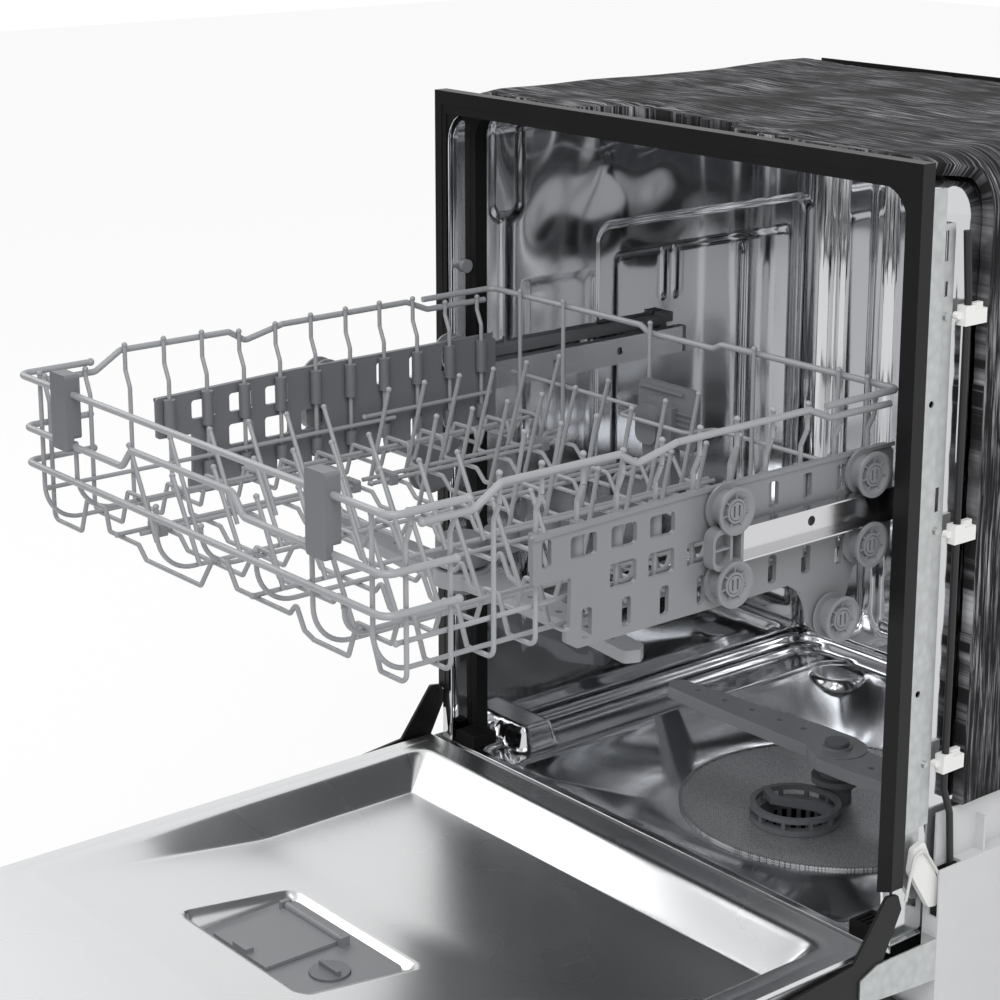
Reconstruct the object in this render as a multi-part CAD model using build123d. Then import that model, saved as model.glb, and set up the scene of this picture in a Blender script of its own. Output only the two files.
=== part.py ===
"""Built-in dishwasher with its door down and its upper rack pulled out.

Millimetres, +Z up from the floor, +Y to the rear, +X to the right of the opening.
Pieces are drawn with y = 0 on the front plane of the trim strips.
"""
import math
import os

from build123d import *

# Overall sizes
HALF_WIDTH = 305.0
TRIM_TOP = 850.0
BODY_REAR = 575.0
PIVOT_Y = -28.0
PIVOT_Z = 180.0
DOOR_END = -706.4
BUTTON_PROUD = 1.6
FRONT_OFFSET = (BUTTON_PROUD - DOOR_END - BODY_REAR) / 2

# Tub
SHEET = 1.5
TUB_HALF = 286.0
TUB_CEILING = 833.0
TUB_FRONT = 4.0
TUB_REAR = 523.0
TUB_CORNER = 30.0
SILL_TOP = 197.0
SEAT_Z = 155.0
SEAT_RADIUS = 150.0
SEAT_CENTRE = (0.0, 255.0)
FILTER_CENTRE = (5.0, 200.0)
LOWER_HUB = (0.0, 262.0)

# Trim strips round the opening
TRIM_HALF = 299.0
TRIM_INNER = 283.0
TRIM_BOTTOM = 254.0
TRIM_TOP_HEIGHT = 21.0
TRIM_PLATE = 1.5
TRIM_RETURN = 14.0
OPENING_RADIUS = 27.0

# Base
BASE_FRONT = 53.0
BASE_BOTTOM = 30.0
BASE_TOP = 259.0
BASE_WALL = 3.0
FLOAT_CENTRE = (160.0, 150.0)
STEM_RADIUS = 6.0

# Door, measured lying open
DOOR_HALF = 297.0
DOOR_HINGE_END = -14.0
DOOR_RIM = 207.0
DOOR_FACE = 145.0
RECESS_HALF = 266.0
RECESS_LOW = 241.0
RECESS_FLOOR = 178.0
RECESS_HINGE = -46.0
RAMP_START = -250.0
POCKET_EDGE = 8.0

# Rails and their wheels
RAIL_INNER = 258.2
RAIL_OUTER = 268.3
RAIL_Z = 574.0
RAIL_HEIGHT = 27.0
RAIL_WALL = 1.2
RAIL_FRONT = -150.0
RAIL_REAR = 290.0
WHEEL_INNER = 255.5
WHEEL_OUTER = 271.0
WHEEL_FLANGE = 2.2
WHEEL_RADIUS = 18.5
GROOVE_RADIUS = 14.0
AXLE_RADIUS = 5.0
SHOULDER_RADIUS = 9.0
KEEPER_RADIUS = 7.0
HUB_RADIUS = 9.5
DISH_RADIUS = 15.8
RUNNING = 0.08
WHEELS = {
    "wheel_pair_upper_front": (-160.0, 602.5),
    "wheel_pair_lower_front": (-160.0, 545.0),
    "wheel_pair_upper_rear": (-8.0, 602.5),
    "wheel_pair_lower_rear": (-8.0, 545.0),
    "wheel_pair_bottom_rear": (-39.0, 490.0),
}

# Upper rack
RIM_WIRE = 2.75
RIB_WIRE = 1.9
BALL = 2.5
RIB_START = -449.0
RIB_PITCH = 38.35
RIB_COUNT = 13
UPRIGHT_X = 244.0
RIM_X = 255.0
PANEL_INNER = 249.0
PANEL_OUTER = 253.0
UPPER_HUB = (0.0, -207.0)
DOCK_CENTRE = (3.0, 591.0)


def block(x, y, z):
    """Box between the limits given as (low, high) along each axis."""
    centre = Pos((x[0] + x[1]) / 2, (y[0] + y[1]) / 2, (z[0] + z[1]) / 2)
    return centre * Box(x[1] - x[0], y[1] - y[0], z[1] - z[0])


def flat(points, radius):
    """Flat face inside the outline, its corners rounded when a radius is given."""
    face = make_face(Polyline(*points, close=True))
    return fillet(face.vertices(), radius) if radius else face


def side_plate(points, x, radius=0.0):
    """Outline in (y, z) carried along X."""
    face = Plane.YZ * flat(points, radius)
    return Pos(x[0], 0, 0) * extrude(face, amount=x[1] - x[0], dir=(1, 0, 0))


def front_plate(points, y, radius=0.0):
    """Outline in (x, z) carried along Y."""
    face = Plane.XZ * flat(points, radius)
    return Pos(0, y[0], 0) * extrude(face, amount=y[1] - y[0], dir=(0, 1, 0))


def floor_plate(points, z, radius=0.0):
    """Outline in (x, y) carried along Z."""
    face = flat(points, radius)
    return Pos(0, 0, z[0]) * extrude(face, amount=z[1] - z[0], dir=(0, 0, 1))


def corners(a, b):
    """Four corners of the rectangle between two (low, high) ranges."""
    return [(a[0], b[0]), (a[1], b[0]), (a[1], b[1]), (a[0], b[1])]


def drum_x(y, z, radius, x):
    """Cylinder along X."""
    middle = Pos((x[0] + x[1]) / 2, y, z)
    return middle * Rot(0, 90, 0) * Cylinder(radius, x[1] - x[0])


def drum_y(x, z, radius, y):
    """Cylinder along Y."""
    middle = Pos(x, (y[0] + y[1]) / 2, z)
    return middle * Rot(90, 0, 0) * Cylinder(radius, y[1] - y[0])


def drum_z(x, y, radius, z):
    """Cylinder along Z."""
    return Pos(x, y, (z[0] + z[1]) / 2) * Cylinder(radius, z[1] - z[0])


def rod(start, end, radius):
    """Straight round bar between two points."""
    start, end = Vector(*start), Vector(*end)
    along = end - start
    return Plane(origin=(start + end) / 2, z_dir=along) * Cylinder(radius, along.length)


def bend_of(arc, radius):
    """Round bend that follows an arc."""
    start, along, centre = arc @ 0, arc % 0, arc.arc_center
    section = Plane(origin=start, z_dir=along) * Circle(radius)
    angle = math.degrees(arc.length / arc.radius)
    return revolve(section, Axis(centre, (start - centre).cross(along)), angle)


def wire_runs(points, radius, bend):
    """Round wire as one piece for each straight run and each bend."""
    path = FilletPolyline(*points, radius=bend)
    pieces = []
    for edge in path.edges():
        if edge.geom_type == GeomType.CIRCLE:
            pieces.append(bend_of(edge, radius))
        else:
            pieces.append(rod(tuple(edge @ 0), tuple(edge @ 1), radius))
    return pieces


def wire(points, radius, bend=0.0):
    """Round wire through the points as a single piece."""
    if len(points) == 2:
        return rod(points[0], points[1], radius)
    pieces = wire_runs(points, radius, bend)
    return pieces[0] + pieces[1:]


def ball(point, radius=BALL):
    return Pos(*point) * Sphere(radius)


def arch(half, bottom, top, y, radius):
    """Upright block whose two top corners are rounded."""
    body = block((-half, half), y, (bottom, top))
    return fillet(body.edges().filter_by(Axis.Y).group_by(Axis.Z)[-1], radius)


def both_sides(shape):
    """The shape and its mirror image across the middle plane."""
    return [shape, shape.mirror(Plane.YZ)]


def save(name, *pieces):
    """Write the pieces as one file, moved into the shared frame."""
    solids = [solid for piece in pieces for solid in piece.solids()]
    shape = Compound(children=solids).moved(Location((0, FRONT_OFFSET, 0)))
    export_step(shape, os.path.join("parts", name + ".step"))


# Tub

EMBOSS_Y = (196.0, 505.0)
EMBOSS_Z = (290.0, 700.0)
EMBOSS_DEPTH = 3.0
ISLAND_Y = (221.0, 481.0)
ISLAND_Z = (316.0, 667.0)
ISLAND_DEPTH = 1.5


def wall_emboss(sign):
    """Shell and hollow of the pressing in one side wall."""
    outside = TUB_HALF + SHEET + EMBOSS_DEPTH
    shell = side_plate(corners((EMBOSS_Y[0] - SHEET, EMBOSS_Y[1] + SHEET),
                               (EMBOSS_Z[0] - SHEET, EMBOSS_Z[1] + SHEET)),
                       (TUB_HALF + 0.2, outside), 20)
    hollow = side_plate(corners(EMBOSS_Y, EMBOSS_Z), (TUB_HALF - 1, TUB_HALF + EMBOSS_DEPTH), 18)
    island = side_plate(corners(ISLAND_Y, ISLAND_Z),
                        (TUB_HALF + ISLAND_DEPTH, TUB_HALF + EMBOSS_DEPTH + 0.5), 12)
    hollow = hollow - island
    if sign < 0:
        return shell.mirror(Plane.YZ), hollow.mirror(Plane.YZ)
    return shell, hollow


def tub_wrapper():
    outer = arch(TUB_HALF + SHEET, SILL_TOP, TUB_CEILING + SHEET, (TUB_FRONT, TUB_REAR),
                 TUB_CORNER + SHEET)
    inner = arch(TUB_HALF, SILL_TOP - 1, TUB_CEILING, (TUB_FRONT - 2, TUB_REAR + 1), TUB_CORNER)
    flange = block((-297, 297), (2.5, TUB_FRONT), (SILL_TOP, 846))
    opening = arch(TRIM_INNER, SILL_TOP - 1, TRIM_TOP - TRIM_TOP_HEIGHT + 1,
                   (1, TUB_FRONT + 1), OPENING_RADIUS)
    body = (outer - inner) + (flange - opening)
    for sign in (-1, 1):
        shell, hollow = wall_emboss(sign)
        body = body + shell - hollow
    return body


def tub_back():
    depth = 4.0
    plate = arch(TUB_HALF + SHEET, SILL_TOP, TUB_CEILING + SHEET, (TUB_REAR, TUB_REAR + SHEET),
                 TUB_CORNER + SHEET)
    area = corners((-200, 200), (260, 700))
    wider = corners((-200 - SHEET, 200 + SHEET), (260 - SHEET, 700 + SHEET))
    shell = front_plate(wider, (TUB_REAR + 0.1, TUB_REAR + SHEET + depth), 26)
    hollow = front_plate(area, (TUB_REAR - 1, TUB_REAR + depth), 24)
    return plate + shell - hollow


def tub_floor():
    pan_x = (-266, 266)
    pan_y = (24, 503)
    lip = block((-TUB_HALF - SHEET, TUB_HALF + SHEET), (TUB_FRONT, TUB_REAR + SHEET),
                (SILL_TOP - SHEET, SILL_TOP))
    skirt = block((-TUB_HALF - SHEET, TUB_HALF + SHEET), (TUB_FRONT, TUB_FRONT + SHEET),
                  (160, SILL_TOP))
    outer_box = block((pan_x[0] - SHEET, pan_x[1] + SHEET), (pan_y[0] - SHEET, pan_y[1] + SHEET),
                      (SEAT_Z - SHEET, SILL_TOP))
    inner_box = block(pan_x, pan_y, (SEAT_Z, SILL_TOP + 1))
    cone_height = 28.0
    centre = Pos(SEAT_CENTRE[0], SEAT_CENTRE[1], SEAT_Z + cone_height / 2)
    bowl = centre * Cone(SEAT_RADIUS, 360, cone_height)
    above = block((-400, 400), (-200, 700), (SEAT_Z + cone_height, SILL_TOP + 1))
    inner = inner_box & (bowl + above)
    outer_bowl = Pos(0, 0, -SHEET) * bowl
    outer_above = block((-400, 400), (-200, 700), (SEAT_Z + cone_height - SHEET, SILL_TOP))
    outer = outer_box & (outer_bowl + outer_above)
    body = lip + skirt + outer - inner
    body = body - drum_z(*FILTER_CENTRE, 43, (100, SILL_TOP))
    for x in (-193, 193):
        body = body + drum_z(x, 473, 27, (170, 182))
    step = side_plate([(61, 184), (61, 199), (66, 205), (100, 205), (105, 199), (105, 184)],
                      (-285.5, -240))
    return body + step + step.mirror(Plane.YZ)


def mesh_filter():
    plate = drum_z(*SEAT_CENTRE, SEAT_RADIUS - 3, (SEAT_Z + 0.1, SEAT_Z + 1.6))
    rim = drum_z(*SEAT_CENTRE, SEAT_RADIUS - 1, (SEAT_Z + 0.1, SEAT_Z + 2.6))
    rim = rim - drum_z(*SEAT_CENTRE, SEAT_RADIUS - 4, (SEAT_Z, SEAT_Z + 3))
    holes = drum_z(*FILTER_CENTRE, 41, (SEAT_Z - 1, SEAT_Z + 4))
    holes = holes + drum_z(*LOWER_HUB, 16.5, (SEAT_Z - 1, SEAT_Z + 4))
    return plate + rim - holes


def filter_cylinder():
    """Cage, top ring with its spokes and a curved handle."""
    x, y = FILTER_CENTRE
    bottom, top = 102.0, 160.0
    cage = drum_z(x, y, 38, (bottom, top)) - drum_z(x, y, 35.5, (bottom + 2, top + 1))
    for angle in range(0, 360, 15):
        slot = Pos(x, y, (bottom + top) / 2) * Rot(0, 0, angle) * Pos(37, 0, 0)
        cage = cage - slot * Box(6, 5, 40)
    ring = drum_z(x, y, 44, (157.2, 163)) - drum_z(x, y, 35.5, (157, 164))
    upper = drum_z(x, y, 44, (170, 175)) - drum_z(x, y, 38.5, (169, 176))
    posts = []
    for angle in range(10, 370, 36):
        place = Pos(x, y, 166.5) * Rot(0, 0, angle) * Pos(41, 0, 0)
        posts.append(place * Box(4, 4, 9))
    body = cage + ring + upper
    for post in posts:
        body = body + post
    handle_points = [(-41, -4), (-20, -14), (0, -3), (20, 8), (41, 4), (41, 12), (20, 17),
                     (0, 6), (-20, -5), (-41, 5)]
    shifted = [(x + px, y + py) for px, py in handle_points]
    return body + floor_plate(shifted, (169, 176), 2)


def lower_arm_mount():
    x, y = LOWER_HUB
    foot = drum_z(x, y, 16, (SEAT_Z, 188)) + drum_z(x, y, 7, (188, 216))
    collar = drum_z(x, y, 24, (178, 184))
    for angle in range(0, 180, 45):
        collar = collar + Pos(x, y, 174) * Rot(0, 0, angle) * Box(34, 3, 10)
    cap = drum_z(x, y, 12, (216, 220))
    return foot + collar + cap


def spray_wing(hub, points, z, holes, hole_radius):
    """One wing of a spray arm drawn round its hub, with its nozzle holes."""
    shifted = [(hub[0] + px, hub[1] + py) for px, py in points]
    wing = floor_plate(shifted, z, 5)
    for px, py in holes:
        wing = wing - drum_z(hub[0] + px, hub[1] + py, hole_radius, (z[1] - 3, z[1] + 1))
    return wing


def lower_spray_arm():
    x, y = LOWER_HUB
    left = [(0, -17), (-140, -17), (-226, -14), (-234, -4), (-229, 11), (-148, 20), (-49, 32),
            (0, 34)]
    right = [(-px, -py) for px, py in left]
    z = (199, 212)
    holes = [(-197, 2), (-159, 4), (-123, 7), (-86, 9), (-55, 11)]
    arm = spray_wing(LOWER_HUB, left, z, holes, 3.2)
    arm = arm + spray_wing(LOWER_HUB, right, z, [(-px, -py) for px, py in holes], 3.2)
    arm = arm + drum_z(x, y, 30, (198, 213)) + drum_z(x, y, 15, (189, 215.5))
    arm = arm - drum_z(x, y, 7 + RUNNING, (180, 230))
    return arm


def vent_cap():
    return drum_x(25, 680, 6.5, (-TUB_HALF, -TUB_HALF + 4))


def docking_port():
    """Water outlet on the back wall that the rack duct enters."""
    ring = drum_y(*DOCK_CENTRE, 22, (506, TUB_REAR))
    return ring - drum_y(*DOCK_CENTRE, 13, (500, TUB_REAR + 1))


# Front frame

def trim_top():
    low = TRIM_TOP - TRIM_TOP_HEIGHT
    outline = [(-TRIM_HALF, TRIM_TOP), (TRIM_HALF, TRIM_TOP), (TRIM_INNER, low), (-TRIM_INNER, low)]
    strip = front_plate(outline, (0, TRIM_PLATE))
    strip = strip - block((-300, 300), (-1, 0.5), (low - 1, TRIM_TOP - 13))
    back = block((-TRIM_HALF, TRIM_HALF), (TRIM_PLATE, TRIM_RETURN), (TRIM_TOP - 1.5, TRIM_TOP))
    corner = block((250, 297), (TRIM_PLATE, 2.4), (800, 846))
    corner = corner - arch(TRIM_INNER, 700, low + 1, (0, 5), OPENING_RADIUS)
    fills = both_sides(corner)
    return strip + back + fills[0] + fills[1]


def trim_side():
    """Right strip; the left one is its mirror image."""
    low = TRIM_TOP - TRIM_TOP_HEIGHT
    outline = [(TRIM_HALF, TRIM_TOP), (TRIM_HALF, TRIM_BOTTOM), (TRIM_INNER, TRIM_BOTTOM - 6),
               (TRIM_INNER, low)]
    strip = front_plate(outline, (0, TRIM_PLATE))
    strip = strip - block((TRIM_INNER - 1, TRIM_INNER + 6), (-1, 0.5), (200, TRIM_TOP))
    back = block((TRIM_HALF - 1.5, TRIM_HALF), (TRIM_PLATE, TRIM_RETURN),
                 (TRIM_BOTTOM, TRIM_TOP - 1.5))
    return strip + back


def door_gasket():
    """Rubber band just inside the opening, with a ribbed foot at each end."""
    y = (32, 46)
    bottom = SILL_TOP + 0.2
    outer = arch(TUB_HALF - 0.2, bottom, TUB_CEILING - 0.2, y, TUB_CORNER - 0.2)
    inner = arch(278, bottom - 1, 825.5, (y[0] - 1, y[1] + 1), 22)
    band = outer - inner
    foot = block((250, 279), (6, y[0] + 2), (bottom, 209))
    for x in range(254, 278, 5):
        foot = foot - block((x, x + 2), (10, y[0] - 3), (bottom + 4, 212))
    feet = both_sides(foot)
    return band + feet[0] + feet[1]


def side_posts():
    """Bent steel posts beside the opening, right side then left."""
    y = (14.3, 46)
    outer = 298.5
    front = block((288, outer), (y[0], y[0] + 1.5), (300, 829))
    face = block((outer - 1.5, outer), (y[0], 30), (300, 829))
    jog = block((293.5, outer), (28.5, 30), (300, 829))
    rear = block((293.5, 295), (30, y[1]), (300, 800))
    web = block((288, 295), (y[1] - 1.5, y[1]), (300, 800))
    post = front + face + jog + rear + web
    lower = block((288, 294), (y[0], 42), (262, 300))
    lower = lower - block((289.5, 295), (y[0] + 1.5, 43), (261, 299))
    post = post + lower
    for sy, sz, height in ((36, 783, 24), (37, 749, 12), (38, 579, 20)):
        post = post - block((290, 300), (sy - 2, sy + 2), (sz - height / 2, sz + height / 2))
    for sy, sz in ((38, 727), (38, 553), (38, 354)):
        post = post + drum_x(sy, sz, 3, (294.8, 297.5))
    for sz in (660, 420):
        post = post - drum_x(22, sz, 2.75, (290, 300))
    return both_sides(post)


def insulation_blanket():
    inner_half = 291.6
    front_y, mid_y, rear_y = 78.0, 458.0, 520.0
    outer = arch(HALF_WIDTH, 306, 858, (front_y, mid_y), 42)
    inner = arch(inner_half, 305, TUB_CEILING + SHEET + 0.3, (front_y - 1, mid_y + 1), 33)
    wrap = outer - inner
    front = block((-282, 282), (22, front_y), (TUB_CEILING + SHEET + 0.3, 855))
    front = fillet(front.edges().filter_by(Axis.Y).group_by(Axis.Z)[-1], 12)
    side = block((inner_half, HALF_WIDTH), (mid_y, rear_y), (306, 790))
    sides = both_sides(side)
    return wrap + front + sides[0] + sides[1]


def rear_channel():
    x = (-270, 270)
    body = block(x, (460, 500), (TUB_CEILING + SHEET, 848))
    return body - block((x[0] - 1, x[1] + 1), (462, 498), (TUB_CEILING + SHEET + 2, 849))


# Base

def base_pan():
    """Open tray with a shelf round its top, ribs, glands and hose holes."""
    half = HALF_WIDTH
    wall = BASE_WALL
    outer = block((-half, half), (BASE_FRONT, BODY_REAR), (BASE_BOTTOM, BASE_TOP))
    inner = block((-half + wall, half - wall), (BASE_FRONT + wall, BODY_REAR - wall),
                  (BASE_BOTTOM + wall, BASE_TOP + 1))
    body = outer - inner
    front_gap = (BASE_FRONT - 1, BASE_FRONT + wall + 1)
    body = body - block((-288.5, 288.5), front_gap, (148, BASE_TOP + 1))
    shelf = block((-half, half), (BASE_FRONT, BODY_REAR), (BASE_TOP - wall, BASE_TOP))
    shelf = shelf - block((-291.6, 291.6), (BASE_FRONT - 1, 530), (BASE_TOP - 5, BASE_TOP + 1))
    body = body + shelf
    for sign in (-1, 1):
        near, far = sorted((sign * 291.6, sign * 293.6))
        body = body + block((near, far), (60, 500), (BASE_TOP - wall, 304))
        near, far = sorted((sign * 294, sign * 303.5))
        body = body - block((near, far), (BASE_FRONT - 1, 82), (215, BASE_TOP + 1))
        for index in range(7):
            y = 110 + 60 * index
            near, far = sorted((sign * 293.6, sign * 303))
            body = body + block((near, far), (y, y + 2.5), (BASE_TOP - 0.5, 290))
    for x, radius in ((-220, 9.0), (220, 11.0)):
        gland = drum_y(x, 90, radius + 4, (BODY_REAR - 10, BODY_REAR))
        body = body + gland - drum_y(x, 90, radius, (BODY_REAR - 12, BODY_REAR + 1))
    for x, y in FEET.values():
        boss = drum_z(x, y, 14, (BASE_BOTTOM, BASE_BOTTOM + 24))
        body = body + boss - drum_z(x, y, 6 + RUNNING, (BASE_BOTTOM - 1, BASE_BOTTOM + 25))
    return body + float_stem()


FEET = {
    "foot_front_left": (-262.0, 80.0),
    "foot_front_right": (262.0, 80.0),
    "foot_rear": (0.0, 545.0),
}


def levelling_foot(x, y):
    stem = drum_z(x, y, 6, (8, BASE_BOTTOM + 30))
    pad = drum_z(x, y, 22, (0, 8))
    return stem + pad


def kick_plate():
    face = block((-290, 290), (46, 48), (20, 128))
    for x in (-288, 288):
        face = face + block((x - 2, x + 2), (48, BASE_FRONT), (34, 120))
    return face


def counterweight():
    body = block((-200, 200), (527, BODY_REAR - BASE_WALL), (BASE_BOTTOM + BASE_WALL, 150))
    return body - block((-20, 20), (520, BODY_REAR), (BASE_BOTTOM, 66))


def sump():
    x, y = FILTER_CENTRE
    cup = drum_z(x, y, 58, (62, SEAT_Z - SHEET)) - drum_z(x, y, 52, (66, SEAT_Z))
    outlet = drum_y(x, 92, 20, (y + 50, y + 100)) - drum_y(x, 92, 16, (y + 49, y + 101))
    side = drum_x(y, 84, 14, (x - 100, x - 50)) - drum_x(y, 84, 11, (x - 101, x - 49))
    cup = cup - drum_x(y, 84, 11, (x - 60, x - 40)) - drum_y(x, 92, 16, (y + 40, y + 60))
    leg_z = (BASE_BOTTOM + BASE_WALL, 64)
    legs = drum_z(x, y - 40, 6, leg_z) + drum_z(x, y + 40, 6, leg_z)
    return cup + outlet + side + legs


def circulation_pump():
    x, y = FILTER_CENTRE
    volute = drum_y(x, 92, 44, (y + 100.2, y + 138))
    motor = drum_y(x, 92, 36, (y + 138, y + 230))
    cradle = block((x - 40, x + 40), (y + 150, y + 170), (BASE_BOTTOM + BASE_WALL, 70))
    cradle = cradle - drum_y(x, 92, 35, (y + 149, y + 171))
    return volute + motor + cradle


def drain_pump():
    x, y = FILTER_CENTRE
    housing = drum_x(y, 84, 26, (x - 150, x - 100.2))
    motor = block((x - 200, x - 150), (y - 22, y + 22), (62, 106))
    foot = block((x - 190, x - 160), (y - 15, y + 15), (BASE_BOTTOM + BASE_WALL, 62))
    return housing + motor + foot


def overflow_float():
    """Disc that rises on its stem when water stands in the base."""
    disc = drum_z(*FLOAT_CENTRE, 26, (BASE_BOTTOM + BASE_WALL + 0.3, 52))
    return disc - drum_z(*FLOAT_CENTRE, STEM_RADIUS + RUNNING, (30, 60))


def float_stem():
    """Stem of the float with the head that keeps it on."""
    stem = drum_z(*FLOAT_CENTRE, STEM_RADIUS, (BASE_BOTTOM, 78))
    return stem + drum_z(*FLOAT_CENTRE, 10, (78, 84))


# Fittings on the sides

GUIDE_STATIONS = (66.0, 250.0)


def rail_guides():
    """Shoes that run in the rails, their brackets and the bar above each rail."""
    pieces = []
    for y in GUIDE_STATIONS:
        shoe = block((261, 267.5), (y - 14, y + 14), (564.2, 583.8))
        shoe = fillet(shoe.edges().filter_by(Axis.X), 3)
        neck = block((267.5, 277), (y - 10, y + 10), (568.5, 579.5))
        bracket = block((277, TUB_HALF), (y - 18, y + 18), (556, 587))
        pieces += [shoe, neck, bracket]
    bar = block((275, TUB_HALF), (47, 275), (588, 597))
    fork = side_plate([(275.5, 562), (291, 562), (291, 600), (275.5, 600)], (274, TUB_HALF))
    fork = fork - side_plate([(282, 572), (292, 572), (292, 590), (282, 590)], (273, 287))
    pieces = pieces + [bar, fork]
    return pieces + [piece.mirror(Plane.YZ) for piece in pieces]


def side_cable():
    """Cable down the right side, held by the three clips, then into the base."""
    points = [(301, 52, 794), (301, 57, 740), (301, 57, 330), (301, 66, 306), (298.5, 72, 270),
              (298.5, 74, 240)]
    return wire(points, 3, 8)


CLIP_HEIGHTS = (727.0, 549.0, 353.0)


def cable_clips():
    clips = []
    for z in CLIP_HEIGHTS:
        clip = block((296, HALF_WIDTH), (50.5, 76), (z - 8, z + 8))
        clip = clip - drum_z(301, 57, 3.1, (z - 9, z + 9))
        clip = clip - block((300.5, 306), (62, 77), (z + 4, z + 9))
        stud = drum_x(49, z, 3, (290, 300)) & block((295.2, 300), (46.2, 50.5), (z - 3, z + 3))
        clips.append(clip + stud)
    return clips


def cord_guides():
    outline = [(22, 264), (25, 284), (38, 288), (61, 240), (58, 224), (47, 226)]
    plate = side_plate(outline, (294.3, 299.5), 4)
    return both_sides(plate)


CORD_X = 297.8


def balance_cords():
    top_x, low_x = 301.2, CORD_X
    points = [(top_x, 15.5, 242), (top_x, 28, 293), (top_x, 56, 254), (top_x, 63, 225),
              (299.5, 69, 203), (low_x, 84, 132), (low_x, 107.5, 128)]
    return both_sides(wire(points, 1.4, 9))


def door_springs():
    coil = drum_y(CORD_X - 7, 128, 9, (108.2, 300)) - drum_y(CORD_X - 7, 128, 6.5, (110, 299))
    hook = block((CORD_X - 16, HALF_WIDTH - BASE_WALL), (300, 303), (118, 138))
    return both_sides(coil + hook)


def hinge_brackets():
    """Plates that carry the door pivots, one at each side."""
    outline = [(-40, 172), (-40, 190), (-20, 198), (BASE_FRONT, 198), (BASE_FRONT, 160), (-20, 166)]
    plate = side_plate(outline, (303.4, 304.9), 3)
    foot = block((290, 304.9), (BASE_FRONT - 2, BASE_FRONT), (160, 198))
    pin = drum_x(PIVOT_Y, PIVOT_Z, 5, (298.5, 303.6))
    return both_sides(plate + foot + pin)


# Door

LINER_SHEET = 1.5
PANEL_SHEET = 1.2
CONTROL_FRONT = -640.0


def recess_tool(grow):
    """Hollow of the door liner, or its outside when grown by the sheet: a steep fall at the
    hinge end and the sides, a long ramp to the free end and a pocket for the dispenser."""
    extra = 0.0 if grow else 1.0
    top = DOOR_RIM + extra
    depth = DOOR_RIM - RECESS_FLOOR
    hinge_run, side_run, ramp_run = 34.0, RECESS_HALF - RECESS_LOW, 215.0
    points = [(RECESS_HINGE + grow + extra * hinge_run / depth, top),
              (RECESS_HINGE - hinge_run + grow, RECESS_FLOOR - grow),
              (RAMP_START, RECESS_FLOOR - grow),
              (RAMP_START - ramp_run * (1 + extra / depth), top - grow)]
    if grow:
        points.append((RAMP_START - ramp_run, top))
    along = side_plate(points, (-RECESS_HALF - 5, RECESS_HALF + 5))
    side = extra * side_run / depth + grow
    points = [(-RECESS_HALF - side, top), (-RECESS_LOW - grow, RECESS_FLOOR - grow),
              (RECESS_LOW + grow, RECESS_FLOOR - grow), (RECESS_HALF + side, top)]
    across = front_plate(points, (-600, 0))
    reach = POCKET_EDGE + grow
    pocket = block((DISPENSER_X[0] - reach, DISPENSER_X[1] + reach),
                   (DISPENSER_Y[0] - reach, DISPENSER_Y[1] + reach),
                   (RECESS_FLOOR - grow, DOOR_RIM - LINER_SHEET - 0.01))
    return (along & across) + pocket


def door_liner():
    half = DOOR_HALF - 2.5
    rim = block((-half, half), (CONTROL_FRONT, DOOR_HINGE_END), (DOOR_RIM - LINER_SHEET, DOOR_RIM))
    body = rim + recess_tool(LINER_SHEET) - recess_tool(0)
    body = body - block(DISPENSER_X, DISPENSER_Y, (160, 200))
    for sign in (-1, 1):
        near, far = sorted((sign * 293, sign * 294.5))
        body = body + block((near, far), (CONTROL_FRONT, DOOR_HINGE_END), (150, DOOR_RIM))
    end = block((-294.5, 294.5), (DOOR_HINGE_END - LINER_SHEET, DOOR_HINGE_END), (150, DOOR_RIM))
    return body + end


def door_panel():
    outer = block((-DOOR_HALF, DOOR_HALF), (DOOR_END, DOOR_HINGE_END - 1.8), (DOOR_FACE, 204.5))
    inner = block((-DOOR_HALF + PANEL_SHEET, DOOR_HALF - PANEL_SHEET), (DOOR_END - 5, 0),
                  (DOOR_FACE + PANEL_SHEET, 210))
    return outer - inner


def control_panel():
    """Moulding across the free end of the door, with its button wells."""
    x = (-294.5, 294.5)
    outer = block(x, (DOOR_END, CONTROL_FRONT - 0.2), (DOOR_FACE + PANEL_SHEET + 0.1, DOOR_RIM))
    inner = block((-291, 291), (DOOR_END + 3, CONTROL_FRONT + 1), (DOOR_FACE + 5, DOOR_RIM - 3))
    body = outer - inner
    for button_x, width, height in BUTTONS.values():
        body = body - block((button_x - width / 2 - 0.4, button_x + width / 2 + 0.4),
                            (DOOR_END - 1, DOOR_END + 4),
                            (BUTTON_Z - height / 2 - 0.4, BUTTON_Z + height / 2 + 0.4))
    return body - block((-60, 60), (DOOR_END + 6, CONTROL_FRONT - 24), (DOOR_RIM - 5, DOOR_RIM + 1))


BUTTON_Z = 178.0
BUTTONS = {
    "button_power": (-230.0, 26.0, 14.0),
    "button_start": (230.0, 38.0, 14.0),
}


def button(x, width, height):
    cap = block((x - width / 2, x + width / 2), (DOOR_END - BUTTON_PROUD, DOOR_END + 7),
                (BUTTON_Z - height / 2, BUTTON_Z + height / 2))
    flange = block((x - width / 2 - 2.5, x + width / 2 + 2.5), (DOOR_END + 7, DOOR_END + 9),
                   (BUTTON_Z - height / 2 - 2.5, BUTTON_Z + height / 2 + 2.5))
    return cap + flange


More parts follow.
